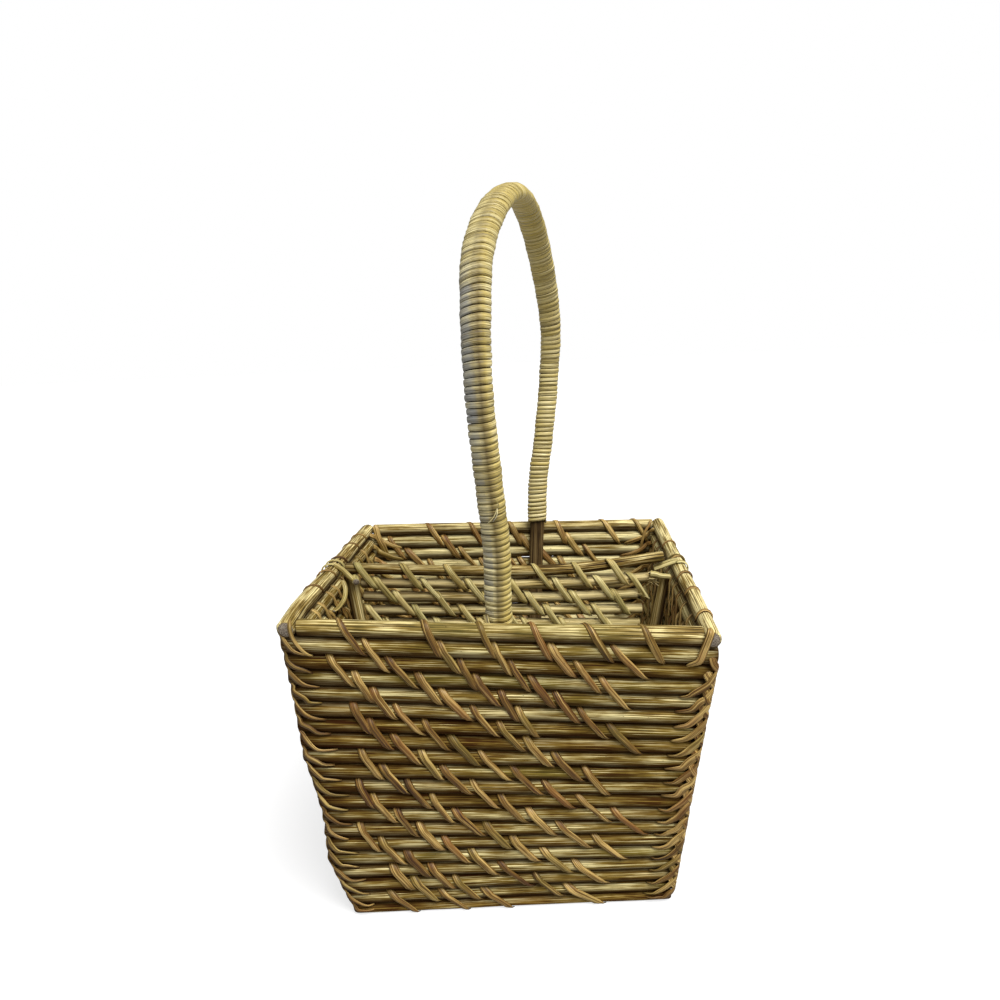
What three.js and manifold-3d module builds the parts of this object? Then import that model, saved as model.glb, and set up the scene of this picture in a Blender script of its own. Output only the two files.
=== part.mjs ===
// A basket caddy: a square, flared basket of stacked cane rods, laced with flat split-cane strips,
// with a divider across its middle and a tall wrapped handle that rises from inside its front and back.
// Sizes are millimetres. X runs along the front, Y from the front to the back and Z up. The origin is
// the middle of the footprint, on the surface that the basket stands on.
import * as THREE from "three";
import { mergeVertices } from "three/addons/utils/BufferGeometryUtils.js";
import Module from "manifold-3d";

const wasm = await Module();
wasm.setup();

// Walls
const baseWidth = 126; // outside the lowest side rods
const baseDepth = 126; // outside the lowest front and back rods
const rimWidth = 152; // outside the side rim rods
const rimDepth = 152; // outside the front and back rim rods
const courses = 20; // rods stacked in each wall, with the rim rod and the base rod
const rodDiameter = 6.3;
const rodBite = 0.1; // how far laced rods press into each other
const rodSides = 8;
const rodEndEase = 0.7; // softened edge at the cut ends of the rim rods
const fit = 0.3; // gap between pieces that lie against each other

// Floor
const floorLift = 1; // air under the floor rods
const floorLaceRuns = 5; // times that the floor's strip crosses the rods

// Split-cane strips
const stripWidth = 3.2;
const stripThickness = 0.8;
const laceSpacing = 19; // between neighbouring strips, along the rim
const laceRun = 8; // sideways step of a strip while it goes down by laceDrop
const laceDrop = 6.2;
const laceEndInset = 12; // bare stretch between the lacing's right end and the corner stitching
const headerWidth = 1.6; // strand that ties the strips together under the rim
const hookSteps = 3; // facets of a strip bent over a rod

// Corner stitching
const cornerLap = 7; // reach of a stitch along each face
const cornerEnd = 2.2; // reach of the stitching past the middle of its first and last rod
const cornerStitchThickness = 1.3;
const cornerNeckLap = 3.5; // reach along each face between two stitches
const cornerNeckThickness = 0.6;

// Divider
const dividerPlace = 0; // its middle plane, from the middle of the basket
const dividerRodDiameter = 4.8;
const dividerPitch = 6.2;
const dividerPostDiameter = 5.4;

// Handle
const handleHeight = 282; // top of the wrapped arch
const coreWidth = 7.2; // along the front
const coreThickness = 3.7; // through the arch's curve
const coreSteps = 56;
const lineDivisions = 1000; // steps in which the handle's line is measured
const handleFootHeight = 22; // where the legs end, inside the walls
const frontFootX = -1;
const backFootX = 11.5;
const frontShoulderX = -3; // the arch is a little twisted: its shoulders stand apart sideways
const backShoulderX = 23;
const handleTieWidth = 4;
const handleTieLap = 3.5; // reach of a tie along the wall at each side of the leg
const upperTieDrop = 22; // from the rim down to the upper tie
const lowerTieRise = 7; // from the leg's end up to the lower tie

// Handle wrap
const wrapPitch = 4.65;
const wrapGap = 1.05; // between neighbouring turns
const wrapThickness = 0.9;
const wrapCrown = 0.55; // share of the strip's width that its crown keeps
const wrapStart = 3; // above the rim
const stepsPerTurn = 8;

// Meshes
const weldDistance = 1e-4; // points nearer than this are one point

// Colours
const rodOlive = { color: 0x9a8550, roughness: 0.62, metalness: 0 };
const rimOlive = { color: 0xa8945a, roughness: 0.58, metalness: 0 };
const stripBrown = { color: 0xa07a48, roughness: 0.6, metalness: 0 };
const coreBrown = { color: 0x6f5d38, roughness: 0.7, metalness: 0 };
const wrapStraw = { color: 0xb3a26c, roughness: 0.5, metalness: 0 };

// Worked out from the sizes above
const rodRadius = rodDiameter / 2;
const rodCorner = rodRadius / Math.cos(Math.PI / rodSides);
const seatStep = rodDiameter + fit;
const rodStep = rodDiameter - rodBite;
const stackLength = 2 * seatStep + (courses - 3) * rodStep;
const stripLift = fit + stripThickness / 2;
const floorTop = floorLift + rodDiameter;
const floorClear = floorTop + stripThickness + 2 * fit;

const basket = new THREE.Group();

// One mesh with its own material, added to a group.
function addPiece(group, name, geometry, finish) {
  const mesh = new THREE.Mesh(geometry, new THREE.MeshStandardMaterial(finish));
  mesh.name = name;
  group.add(mesh);
  return mesh;
}

// A closed geometry as a solid that can be joined.
function toSolid(geometry) {
  const bare = new THREE.BufferGeometry();
  bare.setAttribute("position", geometry.getAttribute("position"));
  if (geometry.index) bare.setIndex(geometry.index);
  const merged = mergeVertices(bare, weldDistance);
  return new wasm.Manifold(
    new wasm.Mesh({
      numProp: 3,
      vertProperties: merged.attributes.position.array,
      triVerts: new Uint32Array(merged.index.array),
    }),
  );
}

// Several closed geometries joined into one.
function join(geometries) {
  const solid = geometries.map(toSolid).reduce((whole, next) => whole.add(next));
  const mesh = solid.getMesh();
  const joined = new THREE.BufferGeometry();
  joined.setAttribute("position", new THREE.BufferAttribute(mesh.vertProperties, 3));
  joined.setIndex(new THREE.BufferAttribute(mesh.triVerts, 1));
  joined.computeVertexNormals();
  return joined;
}

// A rod along X, centred on the origin, with a flat of its section facing each way. An eased rod has
// softened ends.
function rod(diameter, length, ease = 0) {
  const corner = diameter / 2 / Math.cos(Math.PI / rodSides);
  const end = length / 2;
  const profile = [
    [0, -end],
    [corner - ease, -end],
    [corner, ease - end],
    [corner, end - ease],
    [corner - ease, end],
    [0, end],
  ].map(([x, y]) => new THREE.Vector2(x, y));
  const geometry = ease
    ? new THREE.LatheGeometry(profile, rodSides)
    : new THREE.CylinderGeometry(corner, corner, length, rodSides);
  return geometry.rotateY(Math.PI / rodSides).rotateZ(-Math.PI / 2);
}

// The stack of rods along the slope: where course number i has its centre, from the base rod's centre.
function courseAt(i) {
  if (i === 0) return 0;
  if (i === courses - 1) return stackLength;
  return seatStep + (i - 1) * rodStep;
}

// One wall's slope. Faces are measured outwards from the middle of the basket, at a height.
function wallSlope(base, rim) {
  const lean = Math.asin((rim - base) / 2 / stackLength);
  const centre = (z) => base / 2 - rodRadius + (z - rodRadius) * Math.tan(lean);
  return {
    lean,
    centre,
    foot: base / 2 - rodRadius,
    height: (i) => rodRadius + courseAt(i) * Math.cos(lean),
    outside: (z) => centre(z) + rodRadius / Math.cos(lean),
    inside: (z) => centre(z) - rodRadius / Math.cos(lean),
  };
}

const depthSlope = wallSlope(baseDepth, rimDepth); // front and back
const sideSlope = wallSlope(baseWidth, rimWidth); // left and right
const lastCourse = courses - 1;
const rimHeight = sideSlope.height(lastCourse) + rodRadius;

// The four walls. Each is built facing +Y and then turned. The side rods run through to the corners,
// and the front and back rods butt between them.
const walls = [
  { side: "front", turn: Math.PI, slope: depthSlope, across: sideSlope, through: false, phase: 0.5 },
  { side: "right", turn: -Math.PI / 2, slope: sideSlope, across: depthSlope, through: true, phase: 0.5 },
  { side: "back", turn: 0, slope: depthSlope, across: sideSlope, through: false, phase: 0 },
  { side: "left", turn: Math.PI / 2, slope: sideSlope, across: depthSlope, through: true, phase: 0.5 },
];

// Half the length of a wall's rod in course i.
function halfRod(wall, i) {
  const lowest = wall.slope.height(i) - rodRadius;
  return wall.through ? wall.across.outside(lowest) : wall.across.inside(lowest) - fit;
}

// A flat strip on a plane whose outward normal is Y, from (x0, z0) to (x1, z1).
function flatStrip(x0, z0, x1, z1, width, offset) {
  const length = Math.hypot(x1 - x0, z1 - z0);
  return new THREE.BoxGeometry(length, stripThickness, width)
    .rotateY(-Math.atan2(z1 - z0, x1 - x0))
    .translate((x0 + x1) / 2, offset, (z0 + z1) / 2);
}

// A strip bent over a rod along X, from its outer side over its top to its inner side.
function rimHook(x, z, corner) {
  const inner = corner + fit;
  const outer = inner + stripThickness;
  const outline = new THREE.Shape();
  outline.absarc(0, 0, outer, 0, Math.PI, false);
  outline.absarc(0, 0, inner, Math.PI, 0, true);
  const bend = { depth: stripWidth, bevelEnabled: false, curveSegments: hookSteps };
  return new THREE.ExtrudeGeometry(outline, bend)
    .rotateX(Math.PI / 2)
    .rotateZ(Math.PI / 2)
    .translate(x - stripWidth / 2, 0, z);
}

// The lacing on one face: slanting strips, seen from outside running down to the right, tied together
// by a thin strand along their upper ends. The face is a plane whose outward normal is Y.
function laceNet({ top, bottom, halfSpan, offset, phase, hookAt, hookCorner }) {
  const left = (z) => halfSpan(z) - headerWidth / 2;
  const pieces = [flatStrip(left(top), top, -left(top) + laceEndInset, top, headerWidth, offset)];
  const starts = [];
  const most = Math.ceil(left(top) / laceSpacing);
  for (let k = -most; k <= most; k++) {
    const x = (k - phase) * laceSpacing;
    if (x > left(top) - stripWidth || x < -left(top) + laceEndInset) continue;
    starts.push([x, top]);
    if (!hookAt) continue;
    pieces.push(rimHook(x, hookAt, hookCorner));
    pieces.push(flatStrip(x, top, x, hookAt + stripThickness, stripWidth, offset));
  }
  const drop = (laceSpacing * laceDrop) / laceRun;
  let lowest = top;
  for (let z = top - drop / 2; z > bottom + drop / 2; z -= drop) {
    starts.push([left(z), z]);
    lowest = z;
  }
  pieces.push(flatStrip(left(top), top, left(lowest), lowest, headerWidth, offset));
  const narrowing = (left(top) - left(bottom)) / (top - bottom);
  for (const [x, z] of starts) {
    const toBottom = (z - bottom) / laceDrop;
    const toEdge = (x + left(z) - laceEndInset) / (laceRun + narrowing * laceDrop);
    const steps = Math.min(toBottom, toEdge);
    pieces.push(flatStrip(x, z, x - steps * laceRun, z - steps * laceDrop, stripWidth, offset));
  }
  return join(pieces);
}

// A tie that holds a handle leg against a wall's inner face, in a wall's leaning frame.
function handleTie(x, z) {
  const gapSide = coreWidth / 2 + fit;
  const legFace = -(rodRadius + fit);
  const over = legFace - coreThickness - fit;
  const outline = new THREE.Shape(
    [
      [-gapSide - handleTieLap, legFace],
      [-gapSide - handleTieLap, legFace - stripThickness],
      [-gapSide - stripThickness, legFace - stripThickness],
      [-gapSide - stripThickness, over - stripThickness],
      [gapSide + stripThickness, over - stripThickness],
      [gapSide + stripThickness, legFace - stripThickness],
      [gapSide + handleTieLap, legFace - stripThickness],
      [gapSide + handleTieLap, legFace],
      [gapSide, legFace],
      [gapSide, over],
      [-gapSide, over],
      [-gapSide, legFace],
    ].map(([px, py]) => new THREE.Vector2(px, py)),
  );
  return new THREE.ExtrudeGeometry(outline, { depth: handleTieWidth, bevelEnabled: false }).translate(
    x,
    0,
    z - handleTieWidth / 2,
  );
}

// Each wall: its base rod, the raft of laced rods, its rim rod and its lacing.
function addWall(wall) {
  const { side, slope, across } = wall;
  const turned = new THREE.Group();
  turned.rotation.z = wall.turn;
  basket.add(turned);

  const baseRod = rod(rodDiameter, 2 * halfRod(wall, 0)).translate(0, slope.foot, rodRadius);
  addPiece(turned, side + "_base_rod", baseRod, rodOlive);

  const leaning = new THREE.Group();
  leaning.position.set(0, slope.foot, rodRadius);
  leaning.rotation.x = -slope.lean;
  turned.add(leaning);

  const raft = [];
  for (let i = 1; i < lastCourse; i++) {
    raft.push(rod(rodDiameter, 2 * halfRod(wall, i)).translate(0, 0, courseAt(i)));
  }
  addPiece(leaning, side + "_wall_rods", join(raft), rodOlive);

  const rimRod = rod(rodDiameter, 2 * halfRod(wall, lastCourse), rodEndEase);
  addPiece(leaning, side + "_rim_rod", rimRod.translate(0, 0, stackLength), rimOlive);

  const lacing = laceNet({
    top: courseAt(lastCourse - 1),
    bottom: courseAt(1),
    halfSpan: (v) => across.outside(rodRadius + v * Math.cos(slope.lean)) - cornerLap - fit,
    offset: rodRadius + stripLift,
    phase: wall.phase,
    hookAt: stackLength,
    hookCorner: rodCorner,
  });
  addPiece(leaning, side + "_lacing", lacing, stripBrown);
  return leaning;
}

// The floor: a raft of rods from side to side, with one strip laced to and fro across its upper face.
function addFloor() {
  const halfLength = baseWidth / 2 - rodDiameter - fit;
  const room = baseDepth - 2 * (rodDiameter + fit) - rodDiameter;
  const steps = Math.floor(room / rodStep);
  const raft = [];
  for (let i = 0; i <= steps; i++) {
    raft.push(rod(rodDiameter, 2 * halfLength).translate(0, (i - steps / 2) * rodStep, floorLift + rodRadius));
  }
  addPiece(basket, "floor_rods", join(raft), rodOlive);

  const halfRun = (steps / 2) * rodStep;
  const stride = (2 * (halfLength - stripWidth)) / floorLaceRuns;
  const zigzag = [];
  for (let k = 0; k < floorLaceRuns; k++) {
    const way = k % 2 ? -1 : 1;
    const x = stripWidth - halfLength + k * stride;
    zigzag.push(
      flatStrip(x, -way * halfRun, x + stride, way * halfRun, stripWidth, 0)
        .rotateX(-Math.PI / 2)
        .translate(0, 0, floorTop + stripLift),
    );
  }
  addPiece(basket, "floor_lacing", join(zigzag), stripBrown);
}

// A closed skin through rings of equally many points. capFaces lists the triangles that close one
// ring, which the last ring takes as they are and the first ring takes turned round.
function cappedSkin(rings, capFaces) {
  const sides = rings[0].length;
  const last = (rings.length - 1) * sides;
  const faces = [];
  for (let start = 0; start < last; start += sides) {
    for (let k = 0; k < sides; k++) {
      const a = start + k;
      const b = start + ((k + 1) % sides);
      faces.push(a, b, a + sides, b, b + sides, a + sides);
    }
  }
  for (const [a, b, c] of capFaces) {
    faces.push(a, c, b);
    faces.push(last + a, last + b, last + c);
  }
  const geometry = new THREE.BufferGeometry().setFromPoints(rings.flat());
  geometry.setIndex(faces);
  geometry.computeVertexNormals();
  return geometry;
}

// The stitching over one corner: an angled band that swells to a stitch on every course and draws in
// between two courses.
function addCorner(name, signX, signY) {
  const inX = sideSlope.outside(0) + fit / Math.cos(sideSlope.lean);
  const inY = depthSlope.outside(0) + fit / Math.cos(depthSlope.lean);
  const outline = (lap, thickness) => {
    const corners = [
      [inX, inY],
      [inX, inY - lap],
      [inX + thickness, inY - lap],
      [inX + thickness, inY],
      [inX, inY + thickness],
      [inX - lap, inY + thickness],
      [inX - lap, inY],
    ].map(([x, y]) => new THREE.Vector2(signX * x, signY * y));
    return signX * signY > 0 ? corners : corners.reverse();
  };
  const stitch = outline(cornerLap, cornerStitchThickness);
  const neck = outline(cornerNeckLap, cornerNeckThickness);
  const heights = Array.from({ length: courses }, (_, i) => sideSlope.height(i));
  const level = (loop, height) => loop.map(({ x, y }) => new THREE.Vector3(x, y, height));
  const rings = [level(neck, heights[0] - cornerEnd)];
  heights.forEach((z, i) => {
    if (i > 0) rings.push(level(neck, (z + heights[i - 1]) / 2));
    rings.push(level(stitch, z));
  });
  rings.push(level(neck, heights[lastCourse] + cornerEnd));
  const lean = new THREE.Matrix4().set(
    ...[1, 0, signX * Math.tan(sideSlope.lean), 0],
    ...[0, 1, signY * Math.tan(depthSlope.lean), 0],
    ...[0, 0, 1, 0],
    ...[0, 0, 0, 1],
  );
  const stitching = cappedSkin(rings, THREE.ShapeUtils.triangulateShape(neck, []));
  addPiece(basket, name + "_corner_stitching", stitching.applyMatrix4(lean), stripBrown);
}

// The divider: separate rods between two posts, its top rod reaching over the posts to the side rims.
function addDivider() {
  const divider = new THREE.Group();
  divider.position.y = dividerPlace;
  basket.add(divider);
  const radius = dividerRodDiameter / 2;
  const topHeight = sideSlope.height(lastCourse);
  const postTop = topHeight - radius - fit;
  const postReach = (dividerPostDiameter + fit) / Math.cos(sideSlope.lean);
  const halfUnder = (z) => sideSlope.inside(z - radius) - postReach - 2 * fit;

  const topHalf = sideSlope.inside(topHeight - radius) - fit;
  const topRod = rod(dividerRodDiameter, 2 * topHalf, rodEndEase).translate(0, 0, topHeight);
  addPiece(divider, "divider_top_rod", topRod, rimOlive);

  const rows = Math.floor((topHeight - radius - floorClear) / dividerPitch);
  for (let row = 1; row <= rows; row++) {
    const z = topHeight - row * dividerPitch;
    const name = "divider_rod_" + String(row).padStart(2, "0");
    addPiece(divider, name, rod(dividerRodDiameter, 2 * halfUnder(z)).translate(0, 0, z), rodOlive);
  }

  const postRadius = dividerPostDiameter / 2;
  for (const [name, sign] of [["left", -1], ["right", 1]]) {
    const lean = sign * Math.tan(sideSlope.lean);
    const atZero = sign * (sideSlope.inside(0) - (fit + postRadius) / Math.cos(sideSlope.lean));
    const post = rod(dividerPostDiameter, postTop - floorClear)
      .rotateY(-Math.PI / 2)
      .translate(atZero, 0, (postTop + floorClear) / 2);
    post.applyMatrix4(new THREE.Matrix4().set(1, 0, lean, 0, 0, 1, 0, 0, 0, 0, 1, 0, 0, 0, 0, 1));
    addPiece(divider, name + "_divider_post", post, rodOlive);
  }

  const faced = new THREE.Group();
  faced.rotation.z = Math.PI;
  divider.add(faced);
  const lowest = topHeight - rows * dividerPitch;
  const lacing = laceNet({
    top: topHeight,
    bottom: lowest,
    halfSpan: (z) => halfUnder(z) - fit,
    offset: radius + stripLift,
    phase: 0,
  });
  addPiece(faced, "divider_lacing", lacing, stripBrown);
}

// A tie over a side rim: two hooks, in front of the divider's top rod and behind it, and a strap
// that joins them across that rod.
function addRimTie(name, turn) {
  const turned = new THREE.Group();
  turned.rotation.z = turn;
  basket.add(turned);
  const leaning = new THREE.Group();
  leaning.position.set(0, sideSlope.foot, rodRadius);
  leaning.rotation.x = -sideSlope.lean;
  turned.add(leaning);
  const rodCornerRadius = dividerRodDiameter / 2 / Math.cos(Math.PI / rodSides);
  const out = rodCornerRadius + fit + stripWidth / 2;
  const place = turn < 0 ? -dividerPlace : dividerPlace;
  const overRim = rodCorner + fit + stripThickness / 2;
  const strap = new THREE.BoxGeometry(2 * out, stripWidth, stripThickness);
  const pieces = [
    rimHook(place - out, stackLength, rodCorner),
    rimHook(place + out, stackLength, rodCorner),
    strap.translate(place, 0, stackLength + overRim),
  ];
  addPiece(leaning, name, join(pieces), stripBrown);
}

// The handle's line: up the inner face of the front wall, on at the same lean, round a half circle and
// down inside the back wall. It also shifts sideways, because the arch is slightly twisted.
class HandleLine extends THREE.Curve {
  constructor() {
    super();
    const lean = depthSlope.lean;
    const legOffset = (rodRadius + fit + coreThickness / 2) / Math.cos(lean);
    const topHeight = handleHeight - coreThickness / 2 - fit - wrapThickness;
    this.lean = lean;
    this.legAtZero = depthSlope.centre(0) - legOffset;
    this.radius = (this.legAtZero + topHeight * Math.tan(lean)) / (1 / Math.cos(lean) + Math.tan(lean));
    this.hub = topHeight - this.radius;
    this.shoulder = this.hub - this.radius * Math.sin(lean);
    this.legLength = (this.shoulder - handleFootHeight) / Math.cos(lean);
    this.archLength = this.radius * (Math.PI + 2 * lean);
    this.arcLengthDivisions = lineDivisions;
  }

  sideways(y, z) {
    const footX = y < 0 ? frontFootX : backFootX;
    const shoulderX = y < 0 ? frontShoulderX : backShoulderX;
    if (z < this.shoulder) {
      const rise = THREE.MathUtils.smoothstep(z, rimHeight, this.shoulder);
      return footX + (shoulderX - footX) * rise;
    }
    const share = THREE.MathUtils.clamp(y / (this.radius * Math.cos(this.lean)), -1, 1);
    const middle = (frontShoulderX + backShoulderX) / 2;
    return middle + ((backShoulderX - frontShoulderX) / 2) * Math.sin((share * Math.PI) / 2);
  }

  getPoint(t, target = new THREE.Vector3()) {
    const whole = 2 * this.legLength + this.archLength;
    const along = t * whole;
    const fromNearEnd = Math.min(along, whole - along);
    let y, z;
    if (fromNearEnd < this.legLength) {
      z = handleFootHeight + fromNearEnd * Math.cos(this.lean);
      y = this.legAtZero + z * Math.tan(this.lean);
      y *= along < whole / 2 ? -1 : 1;
    } else {
      const angle = (along - this.legLength) / this.radius - this.lean;
      y = -this.radius * Math.cos(angle);
      z = this.hub + this.radius * Math.sin(angle);
    }
    return target.set(this.sideways(y, z), y, z);
  }

  // Frames whose normal stays as near to X as the line allows, so that the core's broad side never
  // turns on its way round the arch.
  computeFrenetFrames(segments) {
    const frames = { tangents: [], normals: [], binormals: [] };
    for (let i = 0; i <= segments; i++) {
      const tangent = this.getTangentAt(i / segments);
      const normal = new THREE.Vector3(-1, 0, 0).addScaledVector(tangent, tangent.x).normalize();
      frames.tangents.push(tangent);
      frames.normals.push(normal);
      frames.binormals.push(new THREE.Vector3().crossVectors(tangent, normal));
    }
    return frames;
  }
}

// Corners of a flat oval with a flat facing each way, whose flats lie width and thickness apart.
function ovalCorners(width, thickness, sides) {
  const grow = 1 / Math.cos(Math.PI / sides);
  return Array.from({ length: sides }, (_, k) => {
    const angle = ((k + 0.5) * 2 * Math.PI) / sides;
    return new THREE.Vector2((width / 2) * grow * Math.cos(angle), (thickness / 2) * grow * Math.sin(angle));
  });
}

// The wrap: one unbroken flat strip wound round the core from rim to rim. Its section has a broad
// back and a narrower crown. Neighbouring turns are measured against each other on their points.
function handleWrap(line) {
  const length = line.getLength();
  const stepLength = wrapPitch / stepsPerTurn;
  const rings = Math.round(length / stepLength);
  const frames = line.computeFrenetFrames(rings);
  const seat = ovalCorners(
    coreWidth + 2 * fit + wrapThickness,
    coreThickness + 2 * fit + wrapThickness,
    stepsPerTurn,
  );
  const half = (wrapPitch - wrapGap) / 2;
  const deep = wrapThickness / 2;
  const section = [
    [-half, -deep],
    [half, -deep],
    [half * wrapCrown, deep],
    [-half * wrapCrown, deep],
  ];
  const loops = [];
  for (let i = 0; i <= rings; i++) {
    const centre = line.getPointAt(i / rings);
    if (centre.z < rimHeight + wrapStart) continue;
    const corner = seat[i % stepsPerTurn];
    const across = frames.normals[i];
    const through = frames.binormals[i];
    const outward = new THREE.Vector2(corner.x / coreWidth, corner.y / coreThickness).normalize();
    const away = across.clone().multiplyScalar(outward.x).addScaledVector(through, outward.y);
    centre.addScaledVector(across, corner.x).addScaledVector(through, corner.y);
    const place = ([wide, high]) =>
      centre.clone().addScaledVector(frames.tangents[i], wide).addScaledVector(away, high);
    loops.push(section.map(place));
  }
  let least = Infinity;
  for (let i = 0; i + stepsPerTurn < loops.length; i++) {
    for (const here of loops[i]) {
      for (const next of loops[i + stepsPerTurn]) least = Math.min(least, here.distanceTo(next));
    }
  }
  const turns = (loops.length - 1) / stepsPerTurn;
  console.log(`handle wrap: ${turns.toFixed(1)} turns, least gap to itself ${least.toFixed(2)} mm`);
  const capFaces = [
    [0, 1, 2],
    [0, 2, 3],
  ];
  return cappedSkin(loops, capFaces);
}

// The handle: a flat cane core with its wrap, and two ties for each leg inside the walls.
function addHandle(frontLeaning, backLeaning) {
  const line = new HandleLine();
  const section = new THREE.Shape(ovalCorners(coreWidth, coreThickness, stepsPerTurn));
  const core = new THREE.ExtrudeGeometry(section, {
    steps: coreSteps,
    extrudePath: line,
    bevelEnabled: false,
  });
  addPiece(basket, "handle_core", core, coreBrown);
  addPiece(basket, "handle_wrap", handleWrap(line), wrapStraw);
  const upper = stackLength - upperTieDrop;
  const lower = (handleFootHeight - rodRadius) / Math.cos(depthSlope.lean) + lowerTieRise;
  const legs = [
    ["front", frontLeaning, -frontFootX],
    ["back", backLeaning, backFootX],
  ];
  for (const [side, leaning, x] of legs) {
    addPiece(leaning, side + "_handle_upper_tie", handleTie(x, upper), stripBrown);
    addPiece(leaning, side + "_handle_lower_tie", handleTie(x, lower), stripBrown);
  }
}

const leaningWalls = walls.map(addWall);
addFloor();
addCorner("front_left", -1, -1);
addCorner("front_right", 1, -1);
addCorner("back_left", -1, 1);
addCorner("back_right", 1, 1);
addDivider();
addRimTie("left_divider_tie", Math.PI / 2);
addRimTie("right_divider_tie", -Math.PI / 2);
addHandle(leaningWalls[0], leaningWalls[2]);

export default basket;
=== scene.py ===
"""A laced cane basket caddy: stacked rods, slanting split-cane stitches, a divider and a wrapped handle.

Every piece is worked out on an even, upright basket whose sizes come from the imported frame, and then
goes through HandShape, which gives it the slight skew and belly of the hand-made one. Sizes are in
metres. X runs along the front, Y from the front to the back and Z up.
"""

import logging
import math
from dataclasses import dataclass, field, replace
from enum import Enum

import bpy
import numpy as np
from mathutils import Matrix, Vector


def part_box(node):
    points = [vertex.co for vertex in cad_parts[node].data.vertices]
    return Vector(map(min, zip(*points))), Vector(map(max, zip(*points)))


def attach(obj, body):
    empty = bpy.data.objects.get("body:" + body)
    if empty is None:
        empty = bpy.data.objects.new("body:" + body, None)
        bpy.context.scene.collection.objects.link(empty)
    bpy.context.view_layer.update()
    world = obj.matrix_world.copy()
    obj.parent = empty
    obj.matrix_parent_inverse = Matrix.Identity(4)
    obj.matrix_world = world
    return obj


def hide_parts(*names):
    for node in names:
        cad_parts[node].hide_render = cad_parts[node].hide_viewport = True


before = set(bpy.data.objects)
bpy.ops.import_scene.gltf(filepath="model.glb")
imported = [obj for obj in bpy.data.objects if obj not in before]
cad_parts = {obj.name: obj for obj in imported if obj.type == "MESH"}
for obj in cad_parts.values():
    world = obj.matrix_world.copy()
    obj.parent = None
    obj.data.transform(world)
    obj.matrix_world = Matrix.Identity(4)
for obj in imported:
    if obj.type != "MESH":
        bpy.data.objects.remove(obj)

LOG = logging.getLogger("basket_caddy")
MM = 0.001
PHOTO_SIDE = 1000  # pixels along each side of the picture
GRAIN_SHIFT = 4.0  # each cane's grain starts at a random place within this length, so that none repeats
UP = np.array([0.0, 0.0, 1.0])
Array = np.ndarray
Random = np.random.Generator
Point = tuple[float, float, float]
Pair = tuple[float, float]
Numbers = tuple[float, ...]
Four = tuple[float, float, float, float]
Route = tuple[Four, ...]
Piece = bpy.types.Object
Pieces = list[Piece]
Material = bpy.types.Material
Socket = bpy.types.NodeSocket
Input = Socket | float | Four  # what a node's input can be given


class Slot(Enum):
    """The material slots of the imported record."""

    ROD = "rod"
    RIM = "rim"
    STRIP = "strip"
    CORE = "core"
    WRAP = "wrap"


class Face(Enum):
    """The two faces of a wall. The value is the sign of the outward direction."""

    OUTER = 1
    INNER = -1


class CornerStyle(Enum):
    """How the strips go round a corner."""

    WRAPPED = "one strip on each course"
    PLAITED = "strips from both walls, crossing on the edge"


def unit(vectors: Array) -> Array:
    """Vectors scaled to length one along their last axis."""
    return vectors / np.linalg.norm(vectors, axis=-1, keepdims=True)


def spline(controls: Array, rings: int) -> Array:
    """Points on the Catmull-Rom curves through rows of control points.

    Between two controls the curve is the cubic whose slope at each control is half the step from the
    control before it to the one after it.

    Args:
        controls: control values, shaped (..., controls, dimensions).
        rings: how many points to take, evenly spaced in the curve's parameter.

    Returns:
        The points, shaped (..., rings, dimensions).
    """
    count = controls.shape[-2]
    before = 2 * controls[..., :1, :] - controls[..., 1:2, :]
    after = 2 * controls[..., -1:, :] - controls[..., -2:-1, :]
    padded = np.concatenate([before, controls, after], axis=-2)
    t = np.linspace(0, count - 1, rings)
    k = np.minimum(t.astype(int), count - 2)
    t = (t - k)[:, None]
    p0, p1, p2, p3 = (padded[..., k + shift, :] for shift in range(4))
    bend = 2 * p0 - 5 * p1 + 4 * p2 - p3
    turn = 3 * p1 - p0 - 3 * p2 + p3
    return 0.5 * (2 * p1 + (p2 - p0) * t + bend * t**2 + turn * t**3)


def wander(rng: Random, count: int, t: Array, waves: int) -> Array:
    """Slow random curves between about -1 and 1, one for each of `count` pieces.

    Each is a sum of sines: sum of sin(2 pi (k t + phase)) / k, for k from 1 to `waves`, over 1.5.

    Args:
        rng: the source of the phases.
        count: number of curves.
        t: parameter along each piece, shaped (rings,) or (count, rings).
        waves: number of sines.

    Returns:
        The curves, shaped (count, rings).
    """
    orders = np.arange(1, waves + 1)
    phase = rng.uniform(0, 1, (count, 1, waves))
    angle = 2 * np.pi * (np.broadcast_to(t, (count, t.shape[-1]))[..., None] * orders + phase)
    return (np.sin(angle) / orders).sum(-1) / 1.5


def running_sum(steps: Array) -> Array:
    """The sum of the steps so far, from zero, along the last axis."""
    return np.concatenate([np.zeros_like(steps[..., :1]), steps.cumsum(-1)], -1)


def progress(rise: Array, out: Array) -> Array:
    """How far along its path each point lies, as a share, for flat paths shaped (paths, rings)."""
    run = running_sum(np.hypot(np.diff(rise, axis=1), np.diff(out, axis=1)))
    return run / run[:, -1:]


def ramp(value: Array, start: float, end: float) -> Array:
    """0 up to the start, 1 from the end on, and straight between them."""
    return np.clip((value - start) / (end - start), 0, 1)


def tapered(rings: int, inset: float, slope: float, least: float) -> Array:
    """Widths of a strip that narrows towards both ends, as shares of its full width.

    Each is slope times sin(pi t), held between `least` and 1, for t from `inset` to 1 - `inset`.

    Args:
        rings: number of widths.
        inset: the first t.
        slope: how soon the strip gets to its full width.
        least: the smallest share.

    Returns:
        The shares, (rings,).
    """
    return np.clip(slope * np.sin(np.pi * np.linspace(inset, 1 - inset, rings)), least, 1)


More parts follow.
